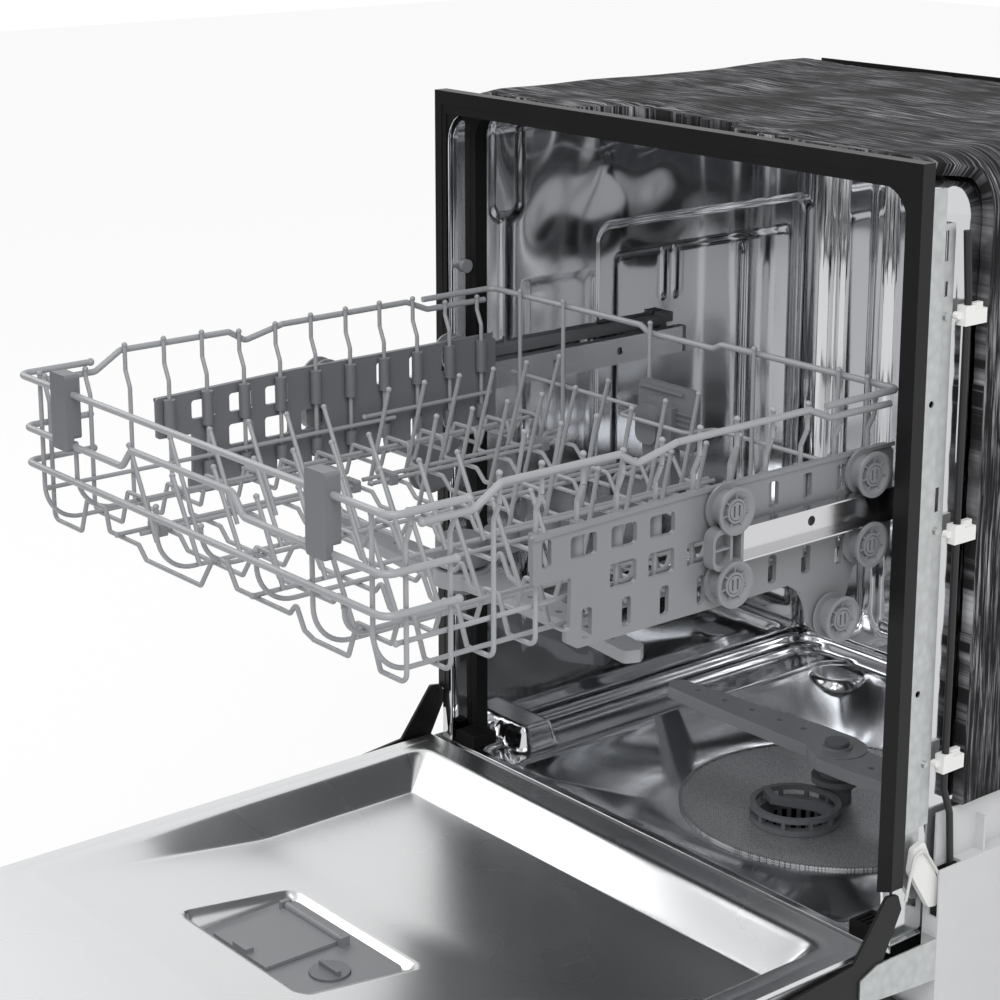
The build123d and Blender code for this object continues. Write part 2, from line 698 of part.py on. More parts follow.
def hinge_arms():
    outline = [(4, 252), (-9, 254), (-46, 206), (-150, 196), (-150, 152), (-40, 152), (-18, 170),
               (-16, 190), (9, 238)]
    plate = side_plate(outline, (300, 303), 3)
    plate = plate - drum_x(PIVOT_Y, PIVOT_Z, AXLE_RADIUS + RUNNING, (299, 304))
    for y in (-80, -130):
        plate = plate + drum_x(y, 174, 4, (297, 300))
    return both_sides(plate + drum_x(1, 246, 2.5, (299.4, 300)))


DISPENSER_X = (-121.0, 40.0)
DISPENSER_Y = (-400.0, -303.0)
CUP_X = (-106.0, -30.0)
CUP_Y = (-388.0, -322.0)
RINSE_CENTRE = (6.0, -352.0)
LID_HINGE = (-316.0, 185.3)


def dispenser_body():
    """Plate with the detergent cup and the rinse-aid filler."""
    x, y = DISPENSER_X, DISPENSER_Y
    floor = RECESS_FLOOR
    frame = floor_plate(corners((x[0] - 3, x[1] + 3), (y[0] - 3, y[1] + 3)),
                        (floor + 0.05, floor + 3), 12)
    box = block((x[0] + 1, x[1] - 1), (y[0] + 1, y[1] - 1), (150, floor + 1))
    body = frame + box - block(CUP_X, CUP_Y, (156, floor + 5))
    body = body - drum_z(*RINSE_CENTRE, 17.5, (160, floor + 5))
    body = body + drum_z(*RINSE_CENTRE, 6, (158, 168))
    for hinge_x in (CUP_X[0] - 5, CUP_X[1] + 5):
        lug = block((hinge_x - 2.5, hinge_x + 2.5), (LID_HINGE[0] - 5, LID_HINGE[0] + 5),
                    (floor + 2, LID_HINGE[1] + 4))
        body = body + lug
    return body + drum_x(*LID_HINGE, 2, (CUP_X[0] - 5, CUP_X[1] + 5))


def dispenser_lid():
    """Flat lid with its hinge barrel and grip."""
    base = RECESS_FLOOR + 3.4
    x = (CUP_X[0] - 1.5, CUP_X[1] + 1.5)
    plate = block(x, (CUP_Y[0] - 4, LID_HINGE[0]), (base, base + 3))
    barrel = drum_x(*LID_HINGE, 3.8, x)
    grip = block((-78, -58), (CUP_Y[0] - 4, CUP_Y[0] + 4), (base + 3, base + 7))
    return plate + barrel + grip - drum_x(*LID_HINGE, 2 + RUNNING, (-130, 0))


def rinse_aid_cap():
    x, y = RINSE_CENTRE
    floor = RECESS_FLOOR
    cap = drum_z(x, y, 17, (168.5, floor + 5))
    grip = block((x - 13, x + 13), (y - 2, y + 2), (floor + 5, floor + 9))
    return cap + grip


def latch():
    """Catch housing set into the top of the control moulding."""
    housing = block((-40, 40), (DOOR_END + 8, CONTROL_FRONT - 30), (DOOR_RIM - 22, DOOR_RIM + 0.5))
    slot = block((-12, 12), (DOOR_END + 14, CONTROL_FRONT - 44), (DOOR_RIM - 16, DOOR_RIM + 1))
    return housing - slot


def handle():
    """Bar with two posts on the outer face."""
    y, z = -620.0, 108.0
    bar = drum_x(y, z, 9, (-230, 230))
    return bar + drum_z(-190, y, 7, (z, DOOR_FACE)) + drum_z(190, y, 7, (z, DOOR_FACE))


# Rails

def rail():
    """Right rail: a channel open toward the wall, pierced three times."""
    half = RAIL_HEIGHT / 2
    z = (RAIL_Z - half, RAIL_Z + half)
    body = block((RAIL_INNER, RAIL_OUTER), (RAIL_FRONT, RAIL_REAR), z)
    hollow = block((RAIL_INNER + RAIL_WALL, RAIL_OUTER + 1), (RAIL_FRONT - 1, RAIL_REAR + 1),
                   (z[0] + RAIL_WALL, z[1] - RAIL_WALL))
    body = body - hollow
    for y in (-67, 117, 203):
        body = body - drum_x(y, RAIL_Z, 4, (RAIL_INNER - 1, RAIL_INNER + 3))
    return body


def rail_caps():
    """End caps: the front ones are hollow loops with a web, the rear ones are plain."""
    x = (RAIL_INNER, RAIL_OUTER)
    z = RAIL_Z
    half = RAIL_HEIGHT / 2
    flare = 16.5
    outline = [(RAIL_FRONT, z - half), (-168, z - half), (-171, z - flare), (-182, z - flare),
               (-182, z + flare), (-171, z + flare), (-168, z + half), (RAIL_FRONT, z + half)]
    front = side_plate(outline, x)
    front = fillet(front.edges().filter_by(Axis.X).group_by(Axis.Y)[0], 9)
    pocket = side_plate(corners((-179.5, -164), (z - 12, z + 12)), (x[1] - 7, x[1] + 1), 6)
    web = block((x[1] - 7, x[1] - 1), (-180, -163), (z - 0.8, z + 0.8))
    opening = block((x[1] - 8.5, x[1] + 1), (-161.5, -153), (z - 10.5, z + 10.5))
    front = front - pocket + web - opening
    rear = block(x, (RAIL_REAR, RAIL_REAR + 5), (z - half, z + half))
    return both_sides(front) + both_sides(rear)


# Upper rack

RIB_FLOOR = [(-236, 530), (-199, 530), (-188, 559), (-158, 559), (-153, 541), (-108, 541),
             (-97, 531), (-17, 531), (3, 559), (22, 559), (34, 542), (104, 542), (112, 551),
             (122, 534), (134, 530), (176, 530), (187, 558), (203, 558), (214, 530), (236, 530)]
RIM_LINE = [(-443, 647), (-399, 647), (-374, 662), (-265, 662), (-248, 652), (-208, 661),
            (-69, 662), (-45, 652), (24, 652)]
JOG_X = RIM_X - RIM_WIRE - RIB_WIRE
TOUCH = 2 * RIB_WIRE
RIM_TOUCH = RIM_WIRE + RIB_WIRE
FRONT_RAIL_Y = -470.0
REAR_RAIL_Y = 34.0
REAR_RAIL_Z = 662.0
LONG_START = -455.0
LONG_END = 20.0
HALFWAY = -215.0
FRONT_BEND = 32.0
LONG_WIRES = [
    (-131, 541 + TOUCH, LONG_START, HALFWAY - 7), (-118, 541 + TOUCH, HALFWAY + 3, LONG_END),
    (-63, 531 + TOUCH, HALFWAY, LONG_END), (64, 542 + TOUCH, LONG_START, LONG_END),
    (57, 542 + TOUCH, HALFWAY, LONG_END), (145, 530 + TOUCH, HALFWAY, LONG_END),
    (-UPRIGHT_X + TOUCH, 559, LONG_START, -95), (-UPRIGHT_X + TOUCH, 565, -130, LONG_END),
    (UPRIGHT_X - TOUCH, 559, LONG_START, LONG_END),
]
FRONT_VERTICALS = [
    (-228, 661, 530 + TOUCH, LONG_END), (-173, 613, 559 - TOUCH, LONG_END),
    (-52, 589, 531 + TOUCH, LONG_END), (12, 589, 559 - TOUCH, 13),
    (86, 589, 542 + TOUCH, LONG_END), (157, 613, 530 + TOUCH, LONG_END),
    (228, 651, 530 + TOUCH, LONG_END), (195, 575, 558 - TOUCH, LONG_END),
]
REAR_VERTICALS = [(-208, 530), (-146, 541), (-29, 531), (99, 542), (195, 558), (226, 530)]


def rib_y(index):
    return RIB_START + RIB_PITCH * index


def rim_z(y):
    """Height of the side rim at a station along the rack."""
    for (y0, z0), (y1, z1) in zip(RIM_LINE, RIM_LINE[1:]):
        if y0 <= y <= y1:
            return z0 + (z1 - z0) * (y - y0) / (y1 - y0)
    return RIM_LINE[0][1] if y < RIM_LINE[0][0] else RIM_LINE[-1][1]


def rib_shape():
    """Cross wire of the floor with the two bends at its ends, drawn at y = 0."""
    pieces = [wire([(x, 0, z) for x, z in RIB_FLOOR], RIB_WIRE, 2.5)]
    for sign in (-1, 1):
        x = sign * UPRIGHT_X
        pieces.append(wire([(sign * 236, 0, 530), (x, 0, 530), (x, 0, 538)], RIB_WIRE, 7.5))
        pieces.append(wire([(x, 0, 538), (x, 0, 631), (sign * JOG_X, 0, 645)], RIB_WIRE, 4))
    return pieces


def rib(shape, y):
    """One rib at a station, its uprights carried to the side rims."""
    pieces = [Pos(0, y, 0) * piece for piece in shape]
    top = rim_z(y) + 5
    for sign in (-1, 1):
        pieces.append(rod((sign * JOG_X, y, 645), (sign * JOG_X, y, top), RIB_WIRE))
        pieces.append(ball((sign * JOG_X, y, top)))
    return pieces


def side_rims():
    """Each side rim in pieces that end at its dips."""
    pieces = []
    for sign in (-1, 1):
        line = [(sign * RIM_X, y, z) for y, z in RIM_LINE]
        for first, last in ((0, 3), (3, 5), (5, 8)):
            pieces.append(wire(line[first:last + 1], RIM_WIRE, 8))
        pieces.append(ball((sign * RIM_X, -443, 647), 3.4))
    return pieces


def front_wires():
    """Three rails across the front and the wires that hang from them."""
    pieces = []
    y = FRONT_RAIL_Y
    top = [(-RIM_X, -403, 656), (-RIM_X, y, 656), (RIM_X, y, 656), (RIM_X, -403, 656)]
    pieces += wire_runs(top, RIM_WIRE, 10)
    near = UPRIGHT_X + RIM_TOUCH
    middle = [(-near, -409, 613), (-near, y, 613), (-92, y, 613), (-78, y, 629), (64, y, 629),
              (78, y, 613), (near, y, 613), (near, -409, 613)]
    pieces += wire_runs(middle, RIM_WIRE, 9)
    low = [(-near, -407, 583), (-near, y, 583), (near, y, 583), (near, -407, 583)]
    pieces += wire_runs(low, RIM_WIRE, 10)
    for x, end_y, z in ((RIM_X, -403, 656), (near, -409, 613), (near, -407, 583)):
        pieces += [ball((x, end_y, z), 3.4), ball((-x, end_y, z), 3.4)]
    inner_y = y + RIM_TOUCH
    for x, top_z, low_z, end in FRONT_VERTICALS:
        bend = min(FRONT_BEND, top_z - low_z - 4)
        pieces += wire_runs([(x, inner_y, top_z), (x, inner_y, low_z), (x, end, low_z)], RIB_WIRE,
                            bend)
        pieces.append(ball((x, inner_y, top_z)))
    return pieces


def rear_wires():
    """Rear rail with its returns, its hanging wires and the low wire beside the duct."""
    y, z = REAR_RAIL_Y, REAR_RAIL_Z
    rail_points = [(-RIM_X, -50, z), (-RIM_X, y, z), (-46, y, z), (-36, y, z - 5), (46, y, z - 5),
                   (56, y, z), (RIM_X, y, z), (RIM_X, -50, z)]
    pieces = wire_runs(rail_points, RIM_WIRE, 8)
    inner_y = y - RIM_TOUCH
    for x, rib_z in REAR_VERTICALS:
        foot = rib_z + TOUCH
        pieces += wire_runs([(x, inner_y, z + 5), (x, inner_y, foot), (x, 8, foot)], RIB_WIRE, 10)
        pieces.append(ball((x, inner_y, z + 5)))
    back = inner_y + TOUCH
    loop = [(-224, back, 586), (-46, back, 586), (-40, 5, 586), (44, 5, 586), (50, back, 586),
            (200, back, 586)]
    return pieces + wire_runs(loop, RIB_WIRE, 6)


TINE_ROWS = {
    "B": ((-52, 531 + TOUCH), (-88, 598), 0, 1),
    "C": ((64, 542 + TOUCH), (31, 609), 0, 1),
    "H": ((157, 530 + TOUCH), (122, 598), 0, 1),
    "E": ((-63, 531 + TOUCH), (-38, 617), 1, -1),
    "F": ((57, 542 + TOUCH), (76, 628), 1, -1),
    "G": ((145, 530 + TOUCH), (164, 617), 1, -1),
}
TINE_GROUPS = ((-430.0, 6), (-200.0, 6))
ROW_PLAY = 0.4
FRONT_ROD = (-120.0, 541 + TOUCH + ROW_PLAY)
REAR_ROD = (-131.0, 541 + TOUCH + ROW_PLAY)
FRONT_TIP = (-153, 609)
REAR_TIP = (-104, 627)


def tines(base, tip, group, side, poke):
    """Row of tines, each touching one side of the wire at the base point."""
    start, count = TINE_GROUPS[group]
    dx, dz = tip[0] - base[0], tip[1] - base[1]
    length = math.hypot(dx, dz)
    ux, uz = dx / length, dz / length
    ox, oz = side * TOUCH * uz, -side * TOUCH * ux
    low = (base[0] + ox - poke * ux, base[1] + oz - poke * uz)
    high = (tip[0] + ox, tip[1] + oz)
    pieces = []
    for index in range(count):
        y = start + RIB_PITCH * index
        pieces.append(wire([(low[0], y, low[1]), (high[0], y, high[1])], RIB_WIRE))
        pieces.append(ball((high[0], y, high[1])))
    return pieces


def rack_basket():
    pieces = []
    shape = rib_shape()
    for index in range(RIB_COUNT):
        pieces += rib(shape, rib_y(index))
    pieces += side_rims()
    for x, z, start, end in LONG_WIRES:
        pieces.append(wire([(x, start, z), (x, end, z)], RIB_WIRE))
        pieces.append(ball((x, start, z)))
    pieces += front_wires()
    pieces += rear_wires()
    for base, tip, group, side in TINE_ROWS.values():
        pieces += tines(base, tip, group, side, 2)
    return pieces


def tine_row_front():
    base = rod((FRONT_ROD[0], -440, FRONT_ROD[1]), (FRONT_ROD[0], -223, FRONT_ROD[1]), RIB_WIRE)
    return [base] + tines(FRONT_ROD, FRONT_TIP, 0, 1, 10)


def tine_row_rear():
    base = rod((REAR_ROD[0], -212, REAR_ROD[1]), (REAR_ROD[0], 4, REAR_ROD[1]), RIB_WIRE)
    return [base] + tines(REAR_ROD, REAR_TIP, 1, -1, 10)


HOLDERS = (
    (FRONT_ROD, -131.0, (-424.0, -417.0)),
    (FRONT_ROD, -131.0, (-232.0, -225.0)),
    (REAR_ROD, -118.0, (-193.5, -186.5)),
    (REAR_ROD, -118.0, (-21.5, -14.5)),
)


def tine_holders():
    """Clips on a fixed wire in which a folding row turns."""
    pieces = []
    for turning, fixed_x, y in HOLDERS:
        fixed_z = 541 + TOUCH
        low, high = sorted((turning[0], fixed_x))
        body = block((low - 4.5, high + 4.5), y, (fixed_z - 5, fixed_z + 5.5))
        body = fillet(body.edges().filter_by(Axis.Y), 2)
        body = body - drum_y(*turning, RIB_WIRE + RUNNING, (y[0] - 1, y[1] + 1))
        body = body - drum_y(fixed_x, fixed_z, RIB_WIRE + 0.02, (y[0] - 1, y[1] + 1))
        pieces.append(body)
    return pieces


def front_clips():
    """Blocks that join the two upper front rails."""
    pieces = []
    y = FRONT_RAIL_Y
    for x in (-178, 178):
        width = (x - 12.5, x + 12.5)
        body = block(width, (y - 6.5, y + 6.5), (619, 672))
        body = body + block(width, (y - 6.5, y - 0.5), (609, 619))
        body = fillet(body.edges().filter_by(Axis.Y), 3)
        for z in (656, 613):
            body = body - drum_x(y, z, RIM_WIRE + 0.05, (x - 20, x + 20))
        pieces.append(body)
    return pieces


PANEL_OUTLINE = [
    (-344, 615), (-344, 579), (-308, 578), (-309, 540), (-313, 538), (-313, 530), (-302, 523),
    (-84, 523), (-70, 514), (-62, 500), (-60, 486), (-51, 477), (-28, 477), (-20, 484), (-18, 500),
    (-9, 524), (33, 524), (33, 612), (26, 619), (-200, 619),
]
PANEL_WINDOWS = (
    [(y, (591, 608)) for y in ((-309, -284), (-270, -245), (-232, -207))]
    + [(y, (561, 580)) for y in ((-271, -245), (-233, -207), (-194, -168))]
    + [(y, (590, 611)) for y in ((-336, -327), (-109, -98), (-71, -61), (-33, -23))]
    + [(y, (529, 552)) for y in ((-298, -288), (-259, -250), (-221, -212), (-183, -175),
                                 (-107, -98), (-70, -60), (-32, -22))]
)


def axle_pin(y, z):
    """Pin of one right wheel: shoulder against the panel, stub, slotted keeper."""
    end = WHEEL_OUTER - 0.6
    pin = drum_x(y, z, AXLE_RADIUS, (PANEL_OUTER, end))
    pin = pin + drum_x(y, z, SHOULDER_RADIUS, (PANEL_OUTER, WHEEL_INNER - 0.4))
    pin = pin + drum_x(y, z, KEEPER_RADIUS, (end - 1.5, end))
    for offset in (-2.6, 2.6):
        slot_y = (y + offset - 0.9, y + offset + 0.9)
        pin = pin - block((end - 2.9, end + 2.6), slot_y, (z - 4.4, z + 4.4))
    return pin


def side_panel():
    """Right panel with its windows and the sleeves that hold the uprights."""
    body = side_plate(PANEL_OUTLINE, (PANEL_INNER, PANEL_OUTER), 2.5)
    for y, z in PANEL_WINDOWS:
        body = body - side_plate(corners(y, z), (PANEL_INNER - 1, PANEL_OUTER + 1), 3)
    lip = side_plate([(-344, 615), (-344, 612), (-200, 616), (33, 616), (33, 619), (-200, 619)],
                     (PANEL_OUTER - 0.2, PANEL_OUTER + 1.2))
    body = body + lip
    for index in range(3, RIB_COUNT):
        y = rib_y(index)
        bands = ((586, 616), (541, 554)) if y > -309 else ((586, 614),)
        for z in bands:
            body = body + drum_z(UPRIGHT_X, y, 5.2, z)
        body = body - drum_z(UPRIGHT_X, y, RIB_WIRE + 0.03, (520, 640))
    return body


def wheel(y, z):
    """Right wheel: two flanges, a groove, a dished face with seven ribs and a hub ring."""
    body = drum_x(y, z, GROOVE_RADIUS, (WHEEL_INNER, WHEEL_OUTER))
    for low in (WHEEL_INNER, WHEEL_OUTER - WHEEL_FLANGE):
        body = body + drum_x(y, z, WHEEL_RADIUS, (low, low + WHEEL_FLANGE))
    depth = 4.0
    face = Pos(WHEEL_OUTER - depth / 2 + 0.01, y, z) * Rot(0, 90, 0)
    dish = face * Cone(HUB_RADIUS, DISH_RADIUS, depth)
    ribs = []
    for index in range(7):
        turn = Rot(360 * index / 7, 0, 0)
        place = Pos(WHEEL_OUTER - depth + 1.6, y, z) * turn * Pos(0, 0, 12.0)
        ribs.append(place * Box(2.6, 1.0, 5.6))
    body = body - dish
    for rib in ribs:
        body = body + rib
    body = body + drum_x(y, z, HUB_RADIUS, (WHEEL_OUTER - depth - 1, WHEEL_OUTER - 0.8))
    recess = drum_x(y, z, 7.6, (WHEEL_OUTER - 2.5, WHEEL_OUTER + 1))
    return body - recess - drum_x(y, z, AXLE_RADIUS + RUNNING, (250, 280))


def water_duct():
    """Head at the rear, riser, supply tube under the floor and the arm spindle."""
    head = front_plate(corners((-34, 40), (563, 619)), (21, 26), 9)
    for z in (596, 591, 586):
        head = head + block((16, 36), (19.5, 21), (z - 0.7, z + 0.7))
    lip = block((-30, 24), (19, 21), (612, 614))
    step = front_plate(corners((-22, 12), (545, 606)), (15, 21), 12)
    cover = front_plate(corners((-25, 1), (564, 599)), (9, 15), 9)
    nozzle = drum_y(*DOCK_CENTRE, 11, (26, 44)) - drum_y(*DOCK_CENTRE, 8, (25, 45))
    x = DOCK_CENTRE[0]
    riser = block((x - 12, x + 12), (15, 26), (506, 600))
    hub_x, hub_y = UPPER_HUB
    body = head + lip + step + cover + nozzle + riser + rod((x, 24, 515), (hub_x, hub_y, 515), 9)
    for y in (-40, -120, -165):
        body = body + drum_z(hub_x + 1, y, 15, (506.5, 524.5))
    body = body + drum_z(hub_x, hub_y, 22, (504, 525)) + drum_z(hub_x, hub_y, 6, (480, 506))
    return body + drum_z(hub_x, hub_y, 11, (478, 483))


def upper_spray_arm():
    x, y = UPPER_HUB
    left = [(0, -15), (-60, -19), (-150, -6), (-226, 4), (-233, 14), (-228, 26), (-150, 17),
            (-60, 14), (0, 16)]
    right = [(-px, -py) for px, py in left]
    holes = [(-200, 14), (-170, 11), (-130, 6), (-90, 1)]
    z = (487, 497)
    arm = spray_wing(UPPER_HUB, left, z, holes, 3)
    arm = arm + spray_wing(UPPER_HUB, right, z, [(-px, -py) for px, py in holes], 3)
    arm = arm + drum_z(x, y, 24, (486, 500)) + drum_z(x, y, 14, (484, 503))
    return arm - drum_z(x, y, 6 + RUNNING, (470, 510))


def main():
    os.makedirs("parts", exist_ok=True)
    save("tub_wrapper", tub_wrapper())
    save("tub_back", tub_back())
    save("tub_floor", tub_floor())
    save("mesh_filter", mesh_filter())
    save("filter_cylinder", filter_cylinder())
    save("lower_arm_mount", lower_arm_mount())
    save("lower_spray_arm", lower_spray_arm())
    save("vent_cap", vent_cap())
    save("docking_port", docking_port())
    save("trim_top", trim_top())
    save("trim_right", trim_side())
    save("trim_left", trim_side().mirror(Plane.YZ))
    save("door_gasket", door_gasket())
    save("side_posts", *side_posts())
    save("insulation_blanket", insulation_blanket())
    save("rear_channel", rear_channel())
    save("base_pan", base_pan())
    for name, (x, y) in FEET.items():
        save(name, levelling_foot(x, y))
    save("kick_plate", kick_plate())
    save("counterweight", counterweight())
    save("sump", sump())
    save("circulation_pump", circulation_pump())
    save("drain_pump", drain_pump())
    save("overflow_float", overflow_float())
    save("rail_guides", *rail_guides())
    save("side_cable", side_cable())
    save("cable_clips", *cable_clips())
    save("cord_guides", *cord_guides())
    save("balance_cords", *balance_cords())
    save("door_springs", *door_springs())
    save("hinge_brackets", *hinge_brackets())
    save("door_liner", door_liner())
    save("door_panel", door_panel())
    save("control_panel", control_panel())
    for name, size in BUTTONS.items():
        save(name, button(*size))
    save("hinge_arms", *hinge_arms())
    save("dispenser_body", dispenser_body())
    save("dispenser_lid", dispenser_lid())
    save("rinse_aid_cap", rinse_aid_cap())
    save("latch", latch())
    save("handle", handle())
    save("rails", *both_sides(rail()))
    save("rail_caps", *rail_caps())
    save("rack_basket", *rack_basket())
    save("tine_row_front", *tine_row_front())
    save("tine_row_rear", *tine_row_rear())
    save("tine_holders", *tine_holders())
    save("front_clips", *front_clips())
    panel = [side_panel()] + [axle_pin(*centre) for centre in WHEELS.values()]
    save("side_panel_right", *panel)
    save("side_panel_left", *[piece.mirror(Plane.YZ) for piece in panel])
    for name, centre in WHEELS.items():
        save(name, *both_sides(wheel(*centre)))
    save("water_duct", water_duct())
    save("upper_spray_arm", upper_spray_arm())


if __name__ == "__main__":
    main()
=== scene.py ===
"""Built-in dishwasher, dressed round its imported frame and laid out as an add-on."""

import math

import bpy
import numpy as np
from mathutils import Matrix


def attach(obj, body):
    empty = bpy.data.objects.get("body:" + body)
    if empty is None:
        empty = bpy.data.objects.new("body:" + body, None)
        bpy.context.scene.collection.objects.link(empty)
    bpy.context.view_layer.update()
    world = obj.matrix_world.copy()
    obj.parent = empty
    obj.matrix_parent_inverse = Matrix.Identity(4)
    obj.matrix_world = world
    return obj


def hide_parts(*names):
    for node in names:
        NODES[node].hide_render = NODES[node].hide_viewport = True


bl_info = {
    "name": "Dishwasher pieces",
    "version": (1, 0, 0),
    "blender": (4, 5, 0),
    "location": "View3D > Sidebar > Dishwasher",
    "description": "Builds the pressed steel, mat, plastics and stage of a built-in dishwasher",
    "category": "Object",
}

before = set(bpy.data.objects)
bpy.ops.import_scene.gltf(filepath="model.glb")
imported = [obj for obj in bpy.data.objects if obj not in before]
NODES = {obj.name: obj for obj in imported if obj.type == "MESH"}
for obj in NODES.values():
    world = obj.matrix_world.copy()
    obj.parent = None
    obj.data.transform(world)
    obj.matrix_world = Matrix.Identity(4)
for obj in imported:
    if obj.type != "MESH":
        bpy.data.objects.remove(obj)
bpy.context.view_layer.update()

MM = 0.001
FRONT = 66.5          # mm from the frame's origin back to the front plane of the trim
SEED = 11

# Places in mm that several pieces share, y measured from the front plane of the trim
TUB_REAR = 523        # inner face of the back sheet
WALL_FOOT = 197.2     # lower edge of the walls and of the back sheet
SILL = 197            # top of the tub floor's rim
DOOR_HALF = 294.5     # middle of the door to the side of its inner sheet
DOOR_HINGE_END = -14  # hinge end of the inner sheet
STEEL_NAME = "Polished stainless, deep drawn"


# Measures and colours a user would change

class TubSizes(bpy.types.PropertyGroup):
    half_width: bpy.props.FloatProperty(
        name="Half width", description="Middle of the tub to its wall", default=0.286,
        unit="LENGTH")
    ceiling: bpy.props.FloatProperty(
        name="Ceiling", description="Height of the tub ceiling", default=0.833, unit="LENGTH")
    corner: bpy.props.FloatProperty(
        name="Corner", description="Radius of the upper corners", default=0.030, unit="LENGTH")
    rear_corner: bpy.props.FloatProperty(
        name="Rear corner", description="Radius where the back meets the walls", default=0.026,
        unit="LENGTH")
    sheet: bpy.props.FloatProperty(
        name="Sheet", description="Thickness of the steel", default=0.0014, unit="LENGTH")
    steel: bpy.props.StringProperty(
        name="Steel", description="Colour of the polished steel", default="#D0D1D3")


class DoorSizes(bpy.types.PropertyGroup):
    recess_depth: bpy.props.FloatProperty(
        name="Recess depth", description="Depth of the inner recess", default=0.029,
        unit="LENGTH")
    lip_height: bpy.props.FloatProperty(
        name="Lip height", description="Bead round the recess", default=0.0004, unit="LENGTH")


class MatSizes(bpy.types.PropertyGroup):
    thickness: bpy.props.FloatProperty(
        name="Thickness", description="Thickness of the fibre mat", default=0.011,
        unit="LENGTH")
    fray: bpy.props.FloatProperty(
        name="Fray", description="How far the torn edges wander", default=0.004,
        unit="LENGTH")
    fibre: bpy.props.StringProperty(
        name="Fibre", description="Colour of the dark fibres", default="#161618")
    strand: bpy.props.StringProperty(
        name="Strand", description="Colour of the pale strands", default="#B6B6BA")


class PlasticColours(bpy.types.PropertyGroup):
    wire: bpy.props.StringProperty(
        name="Wire", description="Nylon coat of the rack", default="#95979A")
    panel: bpy.props.StringProperty(
        name="Panel", description="Right side panel and wheels", default="#7E8083")
    dark: bpy.props.StringProperty(
        name="Dark", description="Darker mouldings", default="#6C6E72")
    black: bpy.props.StringProperty(
        name="Black", description="Trim and control mouldings", default="#0D0D0F")
    white: bpy.props.StringProperty(
        name="White", description="Clips and guides", default="#E6E6E4")


# Nodes and materials

def linear(text):
    """sRGB hex to a linear colour."""
    values = [int(text[i:i + 2], 16) / 255 for i in (1, 3, 5)]
    return [v / 12.92 if v <= 0.04045 else ((v + 0.055) / 1.055) ** 2.4 for v in values] + [1.0]


def add(tree, kind, links=None, inputs=None, **settings):
    """One node with its settings, its input values and the links into it."""
    made = tree.nodes.new(kind)
    for key, value in settings.items():
        setattr(made, key, value)
    for key, value in (inputs or {}).items():
        made.inputs[key].default_value = value
    for key, (source, output) in (links or {}).items():
        tree.links.new(source.outputs[output], made.inputs[key])
    return made


def new_material(name):
    """An empty material with its tree, its shader and its object coordinates."""
    material = bpy.data.materials.new(name)
    material.use_nodes = True
    tree = material.node_tree
    tree.nodes.clear()
    shader = add(tree, "ShaderNodeBsdfPrincipled")
    add(tree, "ShaderNodeOutputMaterial", {"Surface": (shader, "BSDF")})
    place = add(tree, "ShaderNodeTexCoord")
    return material, tree, shader, place


def mix_colour(tree, factor, low, high):
    """Colour node that goes from low to high with the factor."""
    return add(tree, "ShaderNodeMix", {"Factor": factor}, {6: low, 7: high}, data_type="RGBA")


def moulded(name, colour, roughness, grain_mm, depth_mm, spread=0.06, shine=0.5):
    """Injection-moulded plastic: a fine spark-eroded grain and a slight cloud of tone."""
    material, tree, shader, place = new_material(name)
    tone = add(tree, "ShaderNodeTexNoise", {"Vector": (place, "Object")},
               {"Scale": 18.0, "Detail": 3.0})
    base = linear(colour)
    low = [v * (1 - spread) for v in base[:3]] + [1.0]
    high = [min(1.0, v * (1 + spread)) for v in base[:3]] + [1.0]
    mixed = mix_colour(tree, (tone, "Fac"), low, high)
    tree.links.new(mixed.outputs[2], shader.inputs["Base Color"])
    shader.inputs["Specular IOR Level"].default_value = shine
    grain = add(tree, "ShaderNodeTexNoise", {"Vector": (place, "Object")},
                {"Scale": 1 / (grain_mm * MM), "Detail": 2.0})
    bump = add(tree, "ShaderNodeBump", {"Height": (grain, "Fac")},
               {"Strength": 0.5, "Distance": depth_mm * MM})
    tree.links.new(bump.outputs["Normal"], shader.inputs["Normal"])
    gloss = add(tree, "ShaderNodeMapRange", {"Value": (tone, "Fac")},
                {"To Min": roughness * 0.9, "To Max": roughness * 1.12})
    tree.links.new(gloss.outputs["Result"], shader.inputs["Roughness"])
    return material


def polished_steel(name, colour, roughness, cloud_mm, smear=0.03):
    """Bright-annealed stainless steel, deep drawn: mirror-like, a little duller in clouds.
    The waves that bend its reflections are in the mesh."""
    material, tree, shader, place = new_material(name)
    shader.inputs["Base Color"].default_value = linear(colour)
    shader.inputs["Metallic"].default_value = 1.0
    cloud = add(tree, "ShaderNodeTexNoise", {"Vector": (place, "Object")},
                {"Scale": 1 / (cloud_mm * MM), "Detail": 2.0})
    gloss = add(tree, "ShaderNodeMapRange", {"Value": (cloud, "Fac")},
                {"To Min": roughness, "To Max": roughness + smear})
    tree.links.new(gloss.outputs["Result"], shader.inputs["Roughness"])
    return material


